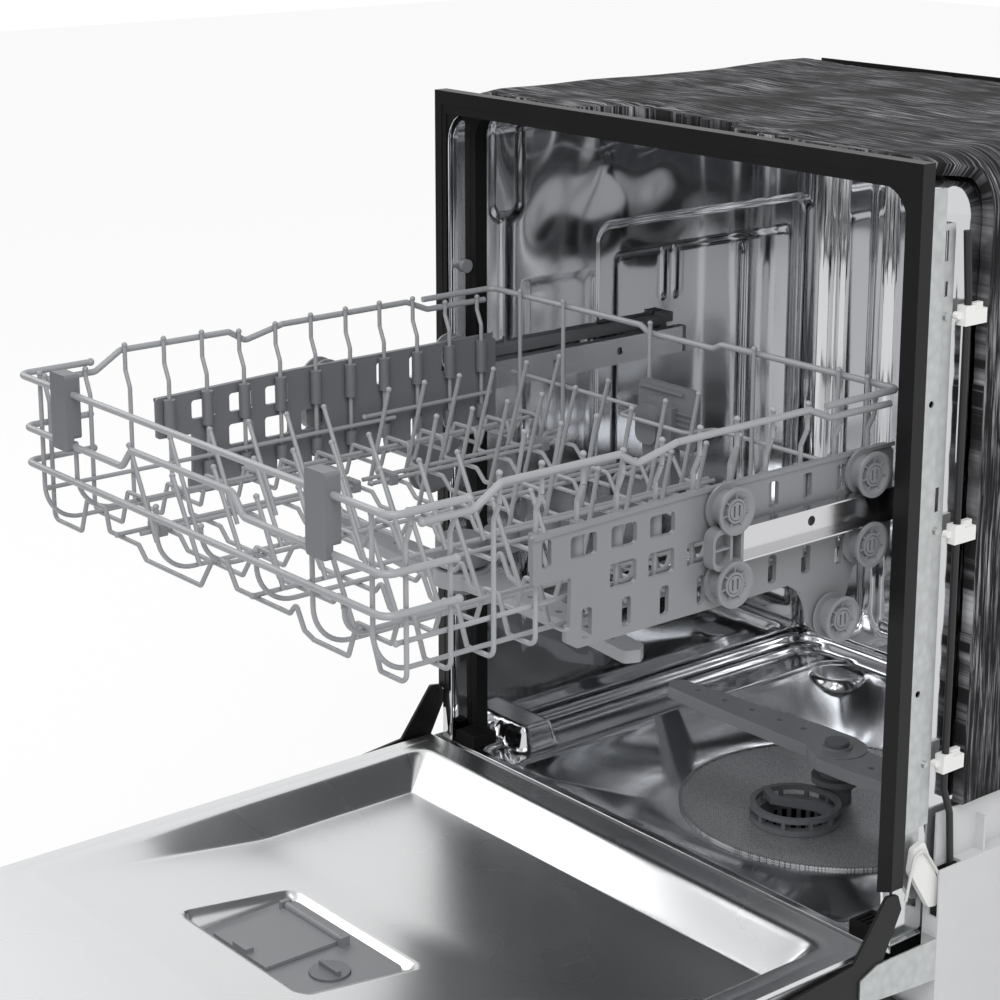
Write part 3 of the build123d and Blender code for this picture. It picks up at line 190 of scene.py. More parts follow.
def brushed_sheet(name, colour, roughness, along):
    """Brushed stainless sheet: fine scratches drawn along one direction."""
    material, tree, shader, place = new_material(name)
    shader.inputs["Base Color"].default_value = linear(colour)
    shader.inputs["Metallic"].default_value = 1.0
    stretch = [900.0, 900.0, 900.0]
    stretch[along] = 12.0
    turned = add(tree, "ShaderNodeMapping", {"Vector": (place, "Object")}, {"Scale": stretch})
    lines = add(tree, "ShaderNodeTexNoise", {"Vector": (turned, "Vector")},
                {"Scale": 1.0, "Detail": 4.0})
    bump = add(tree, "ShaderNodeBump", {"Height": (lines, "Fac")},
               {"Strength": 0.25, "Distance": 0.0002})
    tree.links.new(bump.outputs["Normal"], shader.inputs["Normal"])
    gloss = add(tree, "ShaderNodeMapRange", {"Value": (lines, "Fac")},
                {"To Min": roughness - 0.06, "To Max": roughness + 0.08})
    tree.links.new(gloss.outputs["Result"], shader.inputs["Roughness"])
    return material


def galvanised_sheet(name, colour):
    """Hot-dip galvanised sheet: zinc crystals about 9 mm across, each its own shade."""
    material, tree, shader, place = new_material(name)
    shader.inputs["Metallic"].default_value = 0.85
    crystal = add(tree, "ShaderNodeTexVoronoi", {"Vector": (place, "Object")}, {"Scale": 110.0})
    base = linear(colour)
    low = [v * 0.82 for v in base[:3]] + [1.0]
    mixed = mix_colour(tree, (crystal, "Distance"), base, low)
    tree.links.new(mixed.outputs[2], shader.inputs["Base Color"])
    gloss = add(tree, "ShaderNodeMapRange", {"Value": (crystal, "Distance")},
                {"To Min": 0.34, "To Max": 0.48})
    tree.links.new(gloss.outputs["Result"], shader.inputs["Roughness"])
    bump = add(tree, "ShaderNodeBump", {"Height": (crystal, "Distance")},
               {"Strength": 0.15, "Distance": 0.0002})
    tree.links.new(bump.outputs["Normal"], shader.inputs["Normal"])
    return material


def fibre_mat(name, fibre, strand):
    """Pressed fibre felt: dark wool with pale strands about 2 mm wide, all combed along the
    path round the tub and gathered in patches."""
    material, tree, shader, place = new_material(name)
    drawn = add(tree, "ShaderNodeMapping", {"Vector": (place, "UV")},
                {"Scale": (15.0, 380.0, 1.0), "Rotation": (0.0, 0.0, 0.03)})
    strands = add(tree, "ShaderNodeTexNoise", {"Vector": (drawn, "Vector")},
                  {"Scale": 1.0, "Detail": 5.0, "Roughness": 0.62, "Distortion": 0.7})
    cloud = add(tree, "ShaderNodeTexNoise", {"Vector": (place, "Object")},
                {"Scale": 16.0, "Detail": 4.0})
    sharp = add(tree, "ShaderNodeMapRange", {"Value": (strands, "Fac")},
                {"From Min": 0.48, "From Max": 0.68})
    patch = add(tree, "ShaderNodeMapRange", {"Value": (cloud, "Fac")},
                {"From Min": 0.38, "From Max": 0.66, "To Min": 0.14, "To Max": 0.95})
    amount = add(tree, "ShaderNodeMath", {0: (sharp, "Result"), 1: (patch, "Result")},
                 operation="MULTIPLY")
    mixed = mix_colour(tree, (amount, "Value"), linear(fibre), linear(strand))
    tree.links.new(mixed.outputs[2], shader.inputs["Base Color"])
    shader.inputs["Roughness"].default_value = 0.9
    shader.inputs["Specular IOR Level"].default_value = 0.25
    bump = add(tree, "ShaderNodeBump", {"Height": (strands, "Fac")},
               {"Strength": 0.8, "Distance": 0.0014})
    tree.links.new(bump.outputs["Normal"], shader.inputs["Normal"])
    return material


def mesh_plate(name, colour):
    """Etched stainless filter mesh: dark holes on a pitch of about 2.4 mm."""
    material, tree, shader, place = new_material(name)
    shader.inputs["Metallic"].default_value = 0.7
    shader.inputs["Roughness"].default_value = 0.42
    cells = add(tree, "ShaderNodeTexVoronoi", {"Vector": (place, "Object")},
                {"Scale": 420.0, "Randomness": 0.12})
    hole = add(tree, "ShaderNodeMapRange", {"Value": (cells, "Distance")},
               {"From Min": 0.3, "From Max": 0.42})
    mixed = mix_colour(tree, (hole, "Result"), linear("#0C0C0D"), linear(colour))
    tree.links.new(mixed.outputs[2], shader.inputs["Base Color"])
    bump = add(tree, "ShaderNodeBump", {"Height": (hole, "Result")},
               {"Strength": 0.5, "Distance": 0.0004})
    tree.links.new(bump.outputs["Normal"], shader.inputs["Normal"])
    return material


def braided_cord(name, colour):
    """Braided polyester cord: crossing strands about 1 mm wide, with painted shade in the grooves
    between them.
    """
    material, tree, shader, place = new_material(name)
    shader.inputs["Roughness"].default_value = 0.8
    weave = add(tree, "ShaderNodeTexWave", {"Vector": (place, "Object")},
                {"Scale": 320.0, "Distortion": 1.5}, bands_direction="DIAGONAL")
    base = linear(colour)
    # Colour drops to 0.7 where the weave is low: painted shade in the grooves between the strands,
    # on a cord that is white all through.
    mixed = mix_colour(tree, (weave, "Fac"), [v * 0.7 for v in base[:3]] + [1.0], base)
    tree.links.new(mixed.outputs[2], shader.inputs["Base Color"])
    bump = add(tree, "ShaderNodeBump", {"Height": (weave, "Fac")},
               {"Strength": 0.6, "Distance": 0.0004})
    tree.links.new(bump.outputs["Normal"], shader.inputs["Normal"])
    return material


# Surfaces

def smooth(value):
    """0 below 0, 1 above 1, and a cubic between."""
    clipped = np.clip(value, 0.0, 1.0)
    return clipped * clipped * (3 - 2 * clipped)


def ramp(value, knee):
    """0 to 1 in a straight line, with a short curve at each end."""
    def bend(start):
        near = np.clip(start, -knee, knee)
        return (near + knee) ** 2 / (4 * knee) + np.maximum(start - knee, 0)
    return bend(value) - bend(value - 1)


def inside_rectangle(a, b, low, high, radius):
    """How far a point lies inside a rectangle with rounded corners, negative outside."""
    centre = [(low[0] + high[0]) / 2, (low[1] + high[1]) / 2]
    half = [(high[0] - low[0]) / 2 - radius, (high[1] - low[1]) / 2 - radius]
    da = np.abs(a - centre[0]) - half[0]
    db = np.abs(b - centre[1]) - half[1]
    outside = np.hypot(np.maximum(da, 0), np.maximum(db, 0))
    return radius - outside - np.minimum(np.maximum(da, db), 0)


def pressed(a, b, low, high, radius, edge):
    """1 well inside a rounded rectangle and 0 outside it, with a soft edge this wide."""
    return smooth(inside_rectangle(a, b, low, high, radius) / edge)


def steps(*parts):
    """Stations joined from (start, end, count) runs, each meeting the next once."""
    runs = [np.linspace(start, end, count, endpoint=False) for start, end, count in parts]
    return np.concatenate(runs + [[parts[-1][1]]])


def waves(a, b, scales, seed):
    """Sum of sines in two directions, one for each (wavelength, height)."""
    rng = np.random.default_rng(seed)
    total = np.zeros(np.broadcast(a, b).shape)
    for length, height in scales:
        for turn in rng.uniform(0, math.pi, 3):
            phase = rng.uniform(0, 2 * math.pi)
            along = a * math.cos(turn) + b * math.sin(turn)
            total = total + height / 3 * np.sin(2 * math.pi * along / length + phase)
    return total


def grid_faces(rows, columns, keep=None):
    """Quads of a grid of points, without those that keep leaves out."""
    index = np.arange(rows * columns).reshape(rows, columns)
    quads = np.stack([index[:-1, :-1], index[:-1, 1:], index[1:, 1:], index[1:, :-1]], axis=-1)
    return quads[keep] if keep is not None else quads.reshape(-1, 4)


def surface(name, x, y, z, material, keep=None, unrolled=None):
    """Mesh object from three grids in millimetres, y measured from the trim's front plane.
    The unrolled pair of grids, in millimetres too, becomes its UV map in metres."""
    points = np.stack([x, y + FRONT, z], axis=-1).reshape(-1, 3) * MM
    faces = grid_faces(*x.shape, keep)
    used, faces = np.unique(faces, return_inverse=True)
    mesh = bpy.data.meshes.new(name)
    mesh.from_pydata(points[used].tolist(), [], faces.reshape(-1, 4).tolist())
    mesh.polygons.foreach_set("use_smooth", np.ones(len(mesh.polygons), dtype=bool))
    if unrolled is not None:
        flat = np.stack(unrolled, axis=-1).reshape(-1, 2)[used[faces.ravel()]] * MM
        mesh.uv_layers.new(name="UVMap").data.foreach_set("uv", flat.ravel())
    mesh.materials.append(material)
    made = bpy.data.objects.new(name, mesh)
    bpy.context.scene.collection.objects.link(made)
    return made


def thicken(piece, thickness, offset):
    """Give a surface its thickness: against its normals at -1, along them at 1, and to
    both sides at 0."""
    solid = piece.modifiers.new("Thickness", "SOLIDIFY")
    solid.thickness = thickness
    solid.offset = offset
    solid.use_even_offset = True


def tub_path(half, ceiling, radius, side, top_count):
    """Points and outward directions up one wall, over the ceiling and down the other wall.
    The side stations are heights from the bottom to the start of the corner."""
    turn = np.linspace(0, math.pi / 2, 14)[1:-1]
    top = np.linspace(-(half - radius), half - radius, top_count)
    cx, cz = half - radius, ceiling - radius
    x = np.concatenate([np.full(len(side), -half), -cx - radius * np.cos(turn), top,
                        cx + radius * np.sin(turn), np.full(len(side), half)])
    z = np.concatenate([side, cz + radius * np.sin(turn), np.full(top_count, ceiling),
                        cz + radius * np.cos(turn), side[::-1]])
    out_x = np.concatenate([np.full(len(side), -1.0), -np.cos(turn), np.zeros(top_count),
                            np.sin(turn), np.ones(len(side))])
    out_z = np.concatenate([np.zeros(len(side)), np.sin(turn), np.ones(top_count),
                            np.cos(turn), np.zeros(len(side))])
    return x, z, out_x, out_z


# Pressings of the side wall: lower and upper (y, z) corner, corner radius and edge width
FIELD = ((196, 290), (505, 700), 20, 4.5)
ISLAND = ((221, 316), (481, 667), 12, 4.5)
RIB = ((398, 330), (412, 655), 6.5, 4)
CHANNEL = ((56, 716), (100, 900), 18, 9)
BAR = ((68, 596), (84, 722), 7, 6)
SLOT_CENTRES, SLOT_HALF, SLOT_Z = (290.0, 307.0), 4.5, (612, 667)
SHOULDER_Y, SHOULDER_Z = (96, 196), (230, 657)
# How far each is pressed outward, or raised back inward
FIELD_DEPTH, ISLAND_RISE, RIB_RISE = 3.2, 1.7, 1.7
SLOT_DEPTH, SHOULDER_DEPTH, CHANNEL_DEPTH, BAR_DEPTH = 1.6, 0.8, 3.4, 2.0


def wall_pressing(y, z):
    """How far the side wall is pressed outward: a wide field with a raised island that
    has two upright slots and a rib, a shallow shoulder in front of the field, and an
    upright channel with a bar under it near the opening."""
    island = pressed(y, z, *ISLAND)
    depth = FIELD_DEPTH * pressed(y, z, *FIELD) - ISLAND_RISE * island
    for centre in SLOT_CENTRES:
        slot = pressed(y, z, (centre - SLOT_HALF, SLOT_Z[0]), (centre + SLOT_HALF, SLOT_Z[1]),
                       4.4, 3)
        depth = depth + SLOT_DEPTH * slot * island
    depth = depth - RIB_RISE * pressed(y, z, *RIB) * island
    shoulder = smooth((SHOULDER_Y[1] - y) / 9) * smooth((y - SHOULDER_Y[0]) / 9)
    shoulder = shoulder * smooth((SHOULDER_Z[1] - z) / 10) * smooth((z - SHOULDER_Z[0]) / 30)
    return (depth + SHOULDER_DEPTH * shoulder + CHANNEL_DEPTH * pressed(y, z, *CHANNEL)
            + BAR_DEPTH * pressed(y, z, *BAR))


# Rolled front edge of the tub: depth of each station and how far outward it stands
ROLL_Y = (3.4, 3.4, 3.4, 4.2, 6.0, 9.0, 13.0)
ROLL_OUT = (10.5, 4.0, -1.8, -2.8, -2.6, -1.2, 0.0)


def make_tub_walls(sizes):
    """Front flange, rolled edge, walls with their pressings and the rounded rear corner.
    Each wall point is the path point moved outward by the profile's offset at that depth."""
    half, ceiling = sizes.half_width / MM, sizes.ceiling / MM
    corner = sizes.corner / MM
    side = steps((WALL_FOOT, 286, 12), (286, 324, 15), (324, 590, 26), (590, 622, 12),
                 (622, 656, 6), (656, 740, 34), (740, ceiling - corner, 12))
    x, z, out_x, out_z = tub_path(half, ceiling, corner, side, 44)
    turn = np.linspace(0, math.pi / 2, 10)
    radius = sizes.rear_corner / MM
    y = np.concatenate([ROLL_Y,
                        steps((17, 54, 5), (54, 102, 18), (102, 187, 11), (187, 230, 19),
                              (230, 284, 10), (284, 313, 15), (313, 396, 11), (396, 414, 10),
                              (414, 474, 7), (474, TUB_REAR - radius - 2, 10)),
                        TUB_REAR - radius + radius * np.sin(turn)])
    offset = np.concatenate([ROLL_OUT, np.zeros(len(y) - len(ROLL_OUT) - len(turn)),
                             radius * (np.cos(turn) - 1)])
    grid_y = np.broadcast_to(y[:, None], (len(y), len(x)))
    grid_z = np.broadcast_to(z[None, :], grid_y.shape)
    press = wall_pressing(grid_y, grid_z) * np.abs(out_x)[None, :] ** 4
    round_path = grid_z + x[None, :]
    soft = waves(grid_y, round_path, ((260, 0.30), (140, 0.12)), SEED)
    ripple = waves(grid_y, round_path, ((125, 1.5), (70, 0.4)), SEED + 5)
    slack = smooth((grid_z - 640) / 90) * smooth((400 - grid_y) / 150) + 0.06
    fade = smooth((grid_y - 20) / 60) * smooth((520 - grid_y) / 60)
    move = offset[:, None] + press + (soft + ripple * slack) * fade
    grid_x = x[None, :] + out_x[None, :] * move
    grid_z = grid_z + out_z[None, :] * move
    steel = polished_steel(STEEL_NAME, sizes.steel, 0.05, 130)
    walls = surface("tub_walls", grid_x, grid_y, grid_z, steel)
    thicken(walls, sizes.sheet, 1.0)
    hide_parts("tub_wrapper")
    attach(walls, "cabinet")


# Upright folds of the back sheet on either side: distance from the middle, half width and
# height, positive toward the rear
FOLDS = ((232, 26, 4.0), (196, 15, -3.0), (168, 20, 3.4), (126, 30, 2.2))
FOLD_EDGE = 11


def make_tub_rear(sizes):
    """Back sheet with upright folds over nearly its whole height and a flat middle."""
    corner = sizes.rear_corner / MM
    half, ceiling = sizes.half_width / MM - corner, sizes.ceiling / MM - corner
    x = np.linspace(-half - 1, half + 1, 250)
    z = steps((WALL_FOOT, 250, 16), (250, 740, 60), (740, ceiling, 22), (ceiling, ceiling + 1, 1))
    grid_x, grid_z = np.meshgrid(x, z)
    height = smooth((grid_z - 215) / 24) * smooth((ceiling - 12 - grid_z) / 24)
    fold = np.zeros_like(grid_x)
    for centre, width, rise in FOLDS:
        fold = fold + rise * smooth((width - np.abs(np.abs(grid_x) - centre)) / FOLD_EDGE)
    depth = fold * height
    depth = depth + waves(grid_x, grid_z, ((180, 0.3), (90, 0.15)), SEED + 1)
    depth = np.where((np.abs(grid_x) > half) | (grid_z > ceiling), 0, depth)
    steel = bpy.data.materials[STEEL_NAME]
    rear = surface("tub_rear", grid_x, TUB_REAR + depth, grid_z, steel)
    thicken(rear, sizes.sheet, -1.0)
    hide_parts("tub_back")
    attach(rear, "cabinet")


# Tub floor: steps down from the sill, filter seat, drain hole and what stands up
SILL_STEP, LEDGE_STEP, STEP_EDGE = 8, 6, 6
BEAD_HEIGHT, BEAD_OUT, BEAD_WIDTH = 0.8, 3, 5
FUNNEL_DEPTH, FUNNEL_KNEE, FUNNEL_BOW = 28, 0.12, 1.7
SEAT_Y, SEAT_RADIUS = 255, 150
DRAIN_X, DRAIN_Y, DRAIN_RADIUS = 5, 200, 42
POST_X, POST_Y, POST_RADIUS, POST_TOP, POST_EDGE = 193, 473, 30.5, 181.5, 5
BLOCK, BLOCK_TOP = ((234, 56), (310, 110), 12, 11), 207
PAN_FOOT, PAN_TURN = 160.5, 195.5     # lower and upper edge of the sheet's front skirt


def make_tub_pan(sizes):
    """Tub floor: height over (x, y) falls from the sill by two steps to a ledge, then as a
    funnel to the filter seat, with two round posts at the rear corners of the funnel and a
    raised block at each front corner."""
    x = steps((-287.5, -262, 16), (-262, 262, 184), (262, 287.5, 16))
    y = steps((4.2, 5.0, 2), (5, 30, 14), (30, 503, 172), (503, 524.2, 12))
    grid_x, grid_y = np.meshgrid(x, y)
    outer = inside_rectangle(grid_x, grid_y, (-281, 12), (281, 512), 30)
    inner = inside_rectangle(grid_x, grid_y, (-267, 16), (267, 509), 32)
    rim = inside_rectangle(grid_x, grid_y, (-221, 20), (221, 504), 34)
    past_seat = np.maximum(np.hypot(grid_x, grid_y - SEAT_Y) - SEAT_RADIUS, 0)
    down = rim / np.maximum(rim + past_seat, 1e-6)
    funnel = FUNNEL_DEPTH * (1 - (1 - ramp(down, FUNNEL_KNEE)) ** FUNNEL_BOW)
    height = SILL - SILL_STEP * smooth(outer / STEP_EDGE) - LEDGE_STEP * smooth(inner / STEP_EDGE)
    height = height - np.where(rim > 0, funnel, 0)
    height = height + BEAD_HEIGHT * np.exp(-((rim + BEAD_OUT) / BEAD_WIDTH) ** 2)
    for sign in (-1, 1):
        away = np.hypot(grid_x - sign * POST_X, grid_y - POST_Y)
        post = smooth((POST_RADIUS - away) / POST_EDGE)
        height = height + np.maximum(POST_TOP - height, 0) * post
        block = pressed(sign * grid_x, grid_y, *BLOCK)
        height = height * (1 - block) + BLOCK_TOP * block
    grid_y = np.vstack([grid_y[:1], grid_y[:1], grid_y])
    grid_x = np.vstack([grid_x[:1], grid_x[:1], grid_x])
    foot, turn = np.full_like(height[:1], PAN_FOOT), np.full_like(height[:1], PAN_TURN)
    height = np.vstack([foot, turn, height])
    away = np.hypot(grid_x - DRAIN_X, grid_y - DRAIN_Y)
    middle = (away[:-1, :-1] + away[1:, 1:]) / 2
    steel = polished_steel("Polished stainless, tub floor", sizes.steel, 0.11, 60, 0.05)
    pan = surface("tub_pan", grid_x, grid_y, height, steel, keep=middle > DRAIN_RADIUS)
    thicken(pan, sizes.sheet, -1.0)
    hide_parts("tub_floor")
    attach(pan, "cabinet")


# Inner door sheet: height of its rim and of its skirt's lower edge. Each slope of the recess
# is given by its foot, where the full depth is reached, and its run up to the rim.
RIM_TOP, SKIRT_FOOT = 206.8, 152.0
HINGE_SLOPE, FREE_SLOPE, SIDE_SLOPE = (-80, 34), (-250, 216), (241, 25)
POCKET = ((-131, -410), (50, -293), 10, 5)
DISPENSER_X, DISPENSER_Y = (-121, 40), (-400, -303)
BEAD_LINE, BEAD_SPREAD = ((-270, -474), (270, -42), 14), 6.0
GROOVE_X, GROOVE_HALF, GROOVE_DEPTH, GROOVE_END = 280, 1.6, 0.7, -24
END_DROP, END_DROP_START, END_DROP_RUN = 5.0, -474, 170
ROUNDING, ROUNDING_RUN = 2.2, 2.6


def make_door_tray(sizes):
    """Inner door sheet: the height falls from the rim into the recess, steeply at the hinge
    end and the sides and as a long ramp toward the free end, with a flat pocket round the
    dispenser and a fine groove along each side of the rim."""
    flat = DOOR_HALF - 3
    x = steps((-DOOR_HALF, -flat, 6), (-flat, -230, 48), (-230, -132, 24), (-132, 51, 50),
              (51, 230, 40), (230, flat, 48), (flat, DOOR_HALF, 6))
    y = steps((-640, -480, 24), (-480, -411, 18), (-411, -292, 44), (-292, -100, 50),
              (-100, -34, 50), (-34, -16, 16), (-16, DOOR_HINGE_END, 4))
    grid_x, grid_y = np.meshgrid(x, y)
    depth = sizes.recess_depth / MM
    near = (grid_y - HINGE_SLOPE[0]) / HINGE_SLOPE[1]
    far = (FREE_SLOPE[0] - grid_y) / FREE_SLOPE[1]
    side = (np.abs(grid_x) - SIDE_SLOPE[0]) / SIDE_SLOPE[1]
    steep = sum(np.maximum(part, 0) ** 4 for part in (near, side)) ** 0.25
    sunk = ramp(1 - steep, 0.14) * (1 - ramp(far, 0.07))
    sunk = sunk + (1 - sunk) * pressed(grid_x, grid_y, *POCKET)
    height = RIM_TOP - depth * sunk
    ring = inside_rectangle(grid_x, grid_y, *BEAD_LINE)
    height = height + sizes.lip_height / MM * np.exp(-((ring + 1) / BEAD_SPREAD) ** 2)
    groove = np.exp(-((np.abs(grid_x) - GROOVE_X) / GROOVE_HALF) ** 2)
    height = height - GROOVE_DEPTH * groove * smooth((GROOVE_END - grid_y) / 6)
    height = height - END_DROP * smooth((END_DROP_START - grid_y) / END_DROP_RUN)
    height = height + waves(grid_x, grid_y, ((260, 0.35), (120, 0.08)), SEED + 2) * sunk
    round_off = np.minimum(DOOR_HALF - np.abs(grid_x), DOOR_HINGE_END - grid_y)
    height = height - ROUNDING * (1 - smooth(round_off / ROUNDING_RUN)) ** 2
    low = np.full_like(height[:1], SKIRT_FOOT)
    grid_x = np.vstack([grid_x, grid_x[-1:]])
    grid_y = np.vstack([grid_y, grid_y[-1:]])
    height = np.vstack([height, low])
    low = np.full_like(height[:, :1], SKIRT_FOOT)
    grid_x = np.hstack([grid_x[:, :1], grid_x, grid_x[:, -1:]])
    grid_y = np.hstack([grid_y[:, :1], grid_y, grid_y[:, -1:]])
    height = np.hstack([low, height, low])
    middle_x = (grid_x[:-1, :-1] + grid_x[1:, 1:]) / 2
    middle_y = (grid_y[:-1, :-1] + grid_y[1:, 1:]) / 2
    hole = (middle_x > DISPENSER_X[0]) & (middle_x < DISPENSER_X[1])
    hole = hole & (middle_y > DISPENSER_Y[0]) & (middle_y < DISPENSER_Y[1])
    steel = polished_steel("Polished stainless, door inner", "#DADBDC", 0.25, 200, 0.05)
    tray = surface("door_tray", grid_x, grid_y, height, steel, keep=~hole)
    thicken(tray, 0.0012, -1.0)
    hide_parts("door_liner")
    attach(tray, "door")


# Felt mat: its path round the tub, the depths at which it starts and ends, the shallow bay
# in its front edge, and the least depths that keep it off the trim and the posts
MAT_HALF, MAT_TOP, MAT_CORNER, MAT_FOOT = 297.0, 844.5, 40, 309
MAT_FRONT_SIDE, MAT_FRONT_TOP, MAT_REAR_SIDE, MAT_REAR_TOP = 80, 30, 518.0, 457.0
MAT_SHORT_ABOVE = 780      # over this height the sides end at the channel, like the top
MAT_BAY_X, MAT_BAY_DEPTH, MAT_BAY_EDGE = (-135, 75), 34, 40
MAT_CLEAR_TOP, MAT_CLEAR_SIDE = 22.5, 66


def make_fibre_mat(sizes):
    """Felt over the tub: a path up one side, over the top and down the other, carried from
    a torn front edge to the rear, with lumps from a sum of sines."""
    side = np.linspace(MAT_FOOT, MAT_TOP - MAT_CORNER, 90)
    x, z, out_x, out_z = tub_path(MAT_HALF, MAT_TOP, MAT_CORNER, side, 170)
    along = np.cumsum(np.hypot(np.diff(x, prepend=x[0]), np.diff(z, prepend=z[0])))
    rng = np.random.default_rng(SEED + 3)
    torn = np.convolve(rng.normal(0, 1, len(x)), [0.25, 0.5, 0.25], "same")
    torn = torn + 1.2 * np.sin(along / 37) * np.cos(along / 113)
    fray = sizes.fray / MM
    upper = smooth((285 - np.abs(x)) / 14) * (out_z > 0.5)
    bay = smooth((x - MAT_BAY_X[0]) / MAT_BAY_EDGE) * smooth((MAT_BAY_X[1] - x) / MAT_BAY_EDGE)
    forward = (MAT_FRONT_SIDE - MAT_FRONT_TOP - MAT_BAY_DEPTH * bay) * upper
    front = MAT_FRONT_SIDE - forward + fray * np.clip(torn, -1.6, 1.6) * (0.18 + 1.1 * upper)
    front = np.maximum(front, np.where(upper > 0.02, MAT_CLEAR_TOP, MAT_CLEAR_SIDE))
    rear = np.where(out_z > 0.5, MAT_REAR_TOP, MAT_REAR_SIDE)
    rear = rear + 0.6 * fray * np.clip(torn[::-1], -1.5, 0)
    rear = np.where((out_z <= 0.5) & (z > MAT_SHORT_ABOVE), MAT_REAR_TOP, rear)
    share = np.linspace(0, 1, 120)
    grid_y = front[None, :] + (rear - front)[None, :] * share[:, None]
    lumps = waves(grid_y, along[None, :], ((170, 1.5), (75, 0.7), (31, 0.35)), SEED + 4)
    thin = smooth(share / 0.05)[:, None]
    move = np.clip(lumps * (0.35 + 0.65 * thin), -2.4, 2.4)
    grid_x = x[None, :] + out_x[None, :] * move * 0.6
    grid_z = z[None, :] + out_z[None, :] * (move - 1.5 * (1 - thin))
    felt = fibre_mat("Pressed fibre felt", sizes.fibre, sizes.strand)
    unrolled = (np.broadcast_to(along[None, :], grid_y.shape), grid_y)
    mat = surface("fibre_mat", grid_x, grid_y, grid_z, felt, unrolled=unrolled)
    thicken(mat, sizes.thickness, 0.0)
    length = float(along[-1]) * MM
    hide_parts("insulation_blanket")
    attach(mat, "cabinet")
    return mat, length


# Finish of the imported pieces

def paint_nodes(colours):
    """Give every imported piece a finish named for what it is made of."""
    wire = moulded("Nylon dip-coated wire", colours.wire, 0.36, 0.9, 0.05)
    panel = moulded("Moulded polypropylene, mid grey", colours.panel, 0.42, 0.6, 0.06)
    dark = moulded("Moulded polypropylene, dark grey", colours.dark, 0.42, 0.6, 0.06)
    arm = moulded("Moulded polypropylene, spray arm grey", "#939599", 0.38, 0.6, 0.05)
    black = moulded("Painted steel, satin black", colours.black, 0.42, 0.5, 0.05, 0.12, 0.3)
    rubber = moulded("Extruded rubber, black", "#0E0E10", 0.62, 0.5, 0.08, 0.15, 0.25)
    white = moulded("Moulded nylon, white", colours.white, 0.45, 0.5, 0.04, 0.03)
    base = moulded("Moulded polypropylene, light grey", "#C9CACB", 0.5, 0.7, 0.08)
    cable = moulded("Extruded vinyl cable, black", "#18181A", 0.48, 0.6, 0.05, 0.12)
    iron = moulded("Cast iron, black paint", "#232325", 0.6, 1.5, 0.3, 0.15)
    posts = galvanised_sheet("Hot-dip galvanised sheet", "#C6C9C9")
    cord = braided_cord("Braided polyester cord", "#E4E4E2")
    spring = brushed_sheet("Drawn spring steel", "#8E9093", 0.34, 1)
    rail_steel = brushed_sheet("Rolled stainless strip", "#D2D2D4", 0.16, 1)
    outer = brushed_sheet("Brushed stainless door sheet", "#C4C5C7", 0.3, 0)
    mesh = mesh_plate("Etched stainless mesh", "#C9CACC")
    finishes = {
        wire: ("rack_basket", "tine_row_front", "tine_row_rear"),
        panel: ("side_panel_right", "wheel_pair_upper_front", "wheel_pair_lower_front",
                "wheel_pair_upper_rear", "wheel_pair_lower_rear", "wheel_pair_bottom_rear",
                "tine_holders", "dispenser_body", "dispenser_lid", "vent_cap", "rail_caps"),
        dark: ("side_panel_left", "front_clips", "water_duct", "docking_port", "rail_guides",
               "filter_cylinder", "rinse_aid_cap", "lower_arm_mount"),
        arm: ("lower_spray_arm", "upper_spray_arm"),
        black: ("trim_top", "trim_left", "trim_right", "hinge_arms", "rear_channel",
                "control_panel", "kick_plate", "button_power", "button_start",
                "latch", "circulation_pump", "drain_pump", "foot_front_left",
                "foot_front_right", "foot_rear", "sump"),
        rubber: ("door_gasket",),
        white: ("cable_clips", "cord_guides", "overflow_float"),
        base: ("base_pan",),
        cable: ("side_cable",),
        iron: ("counterweight",),
        posts: ("side_posts", "hinge_brackets"),
        cord: ("balance_cords",),
        spring: ("door_springs",),
        rail_steel: ("rails",),
        outer: ("door_panel", "handle"),
        mesh: ("mesh_filter",),
    }
    for material, names in finishes.items():
        for name in names:
            node = NODES[name]
            node.data.materials.clear()
            node.data.materials.append(material)


ROUNDED = {
    "trim_top": 0.6, "trim_left": 0.6, "trim_right": 0.6, "side_panel_right": 0.5,
    "side_panel_left": 0.5, "rail_caps": 0.6, "front_clips": 1.0, "lower_spray_arm": 1.2,
    "upper_spray_arm": 1.2, "side_posts": 0.3, "base_pan": 0.8, "control_panel": 1.2,
    "door_panel": 1.0, "filter_cylinder": 0.5, "dispenser_body": 0.7, "dispenser_lid": 0.8,
    "hinge_arms": 0.4, "cord_guides": 0.8, "cable_clips": 0.6, "water_duct": 0.7,
    "rear_channel": 0.5, "kick_plate": 0.5, "counterweight": 2.0,
}


def round_edges():
    """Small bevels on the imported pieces, so that their edges catch the light."""
    for name, width in ROUNDED.items():
        node = NODES[name]
        bevel = node.modifiers.new("Rounding", "BEVEL")
        bevel.width = width * MM
        bevel.segments = 2
        bevel.limit_method = "ANGLE"
        bevel.angle_limit = math.radians(40)
        bevel.harden_normals = False


# Stage

CAMERA_PLACE = (1.446, -1.2876, 1.1188)
CAMERA_TURN = (75.75, 0.0, 50.594)
FLOOR_HALF = 9.0         # m from the middle of the floor to its edge
FLOOR_DROP = 0.001       # m between the feet and the floor, so that the two don't flicker
FLOOR_GLOW = 0.85        # share of plain white in what the camera and metal see of it
LIGHT_STRENGTH = 0.7     # of the world, where it only lights


def seen_directly(tree):
    """1 for the rays of the camera, of metal and of glass, 0 for those that light."""
    path = add(tree, "ShaderNodeLightPath")
    seen = add(tree, "ShaderNodeMath", {0: (path, "Is Camera Ray"), 1: (path, "Is Glossy Ray")},
               operation="MAXIMUM")
    return add(tree, "ShaderNodeMath", {0: (seen, "Value"), 1: (path, "Is Transmission Ray")},
               operation="MAXIMUM")


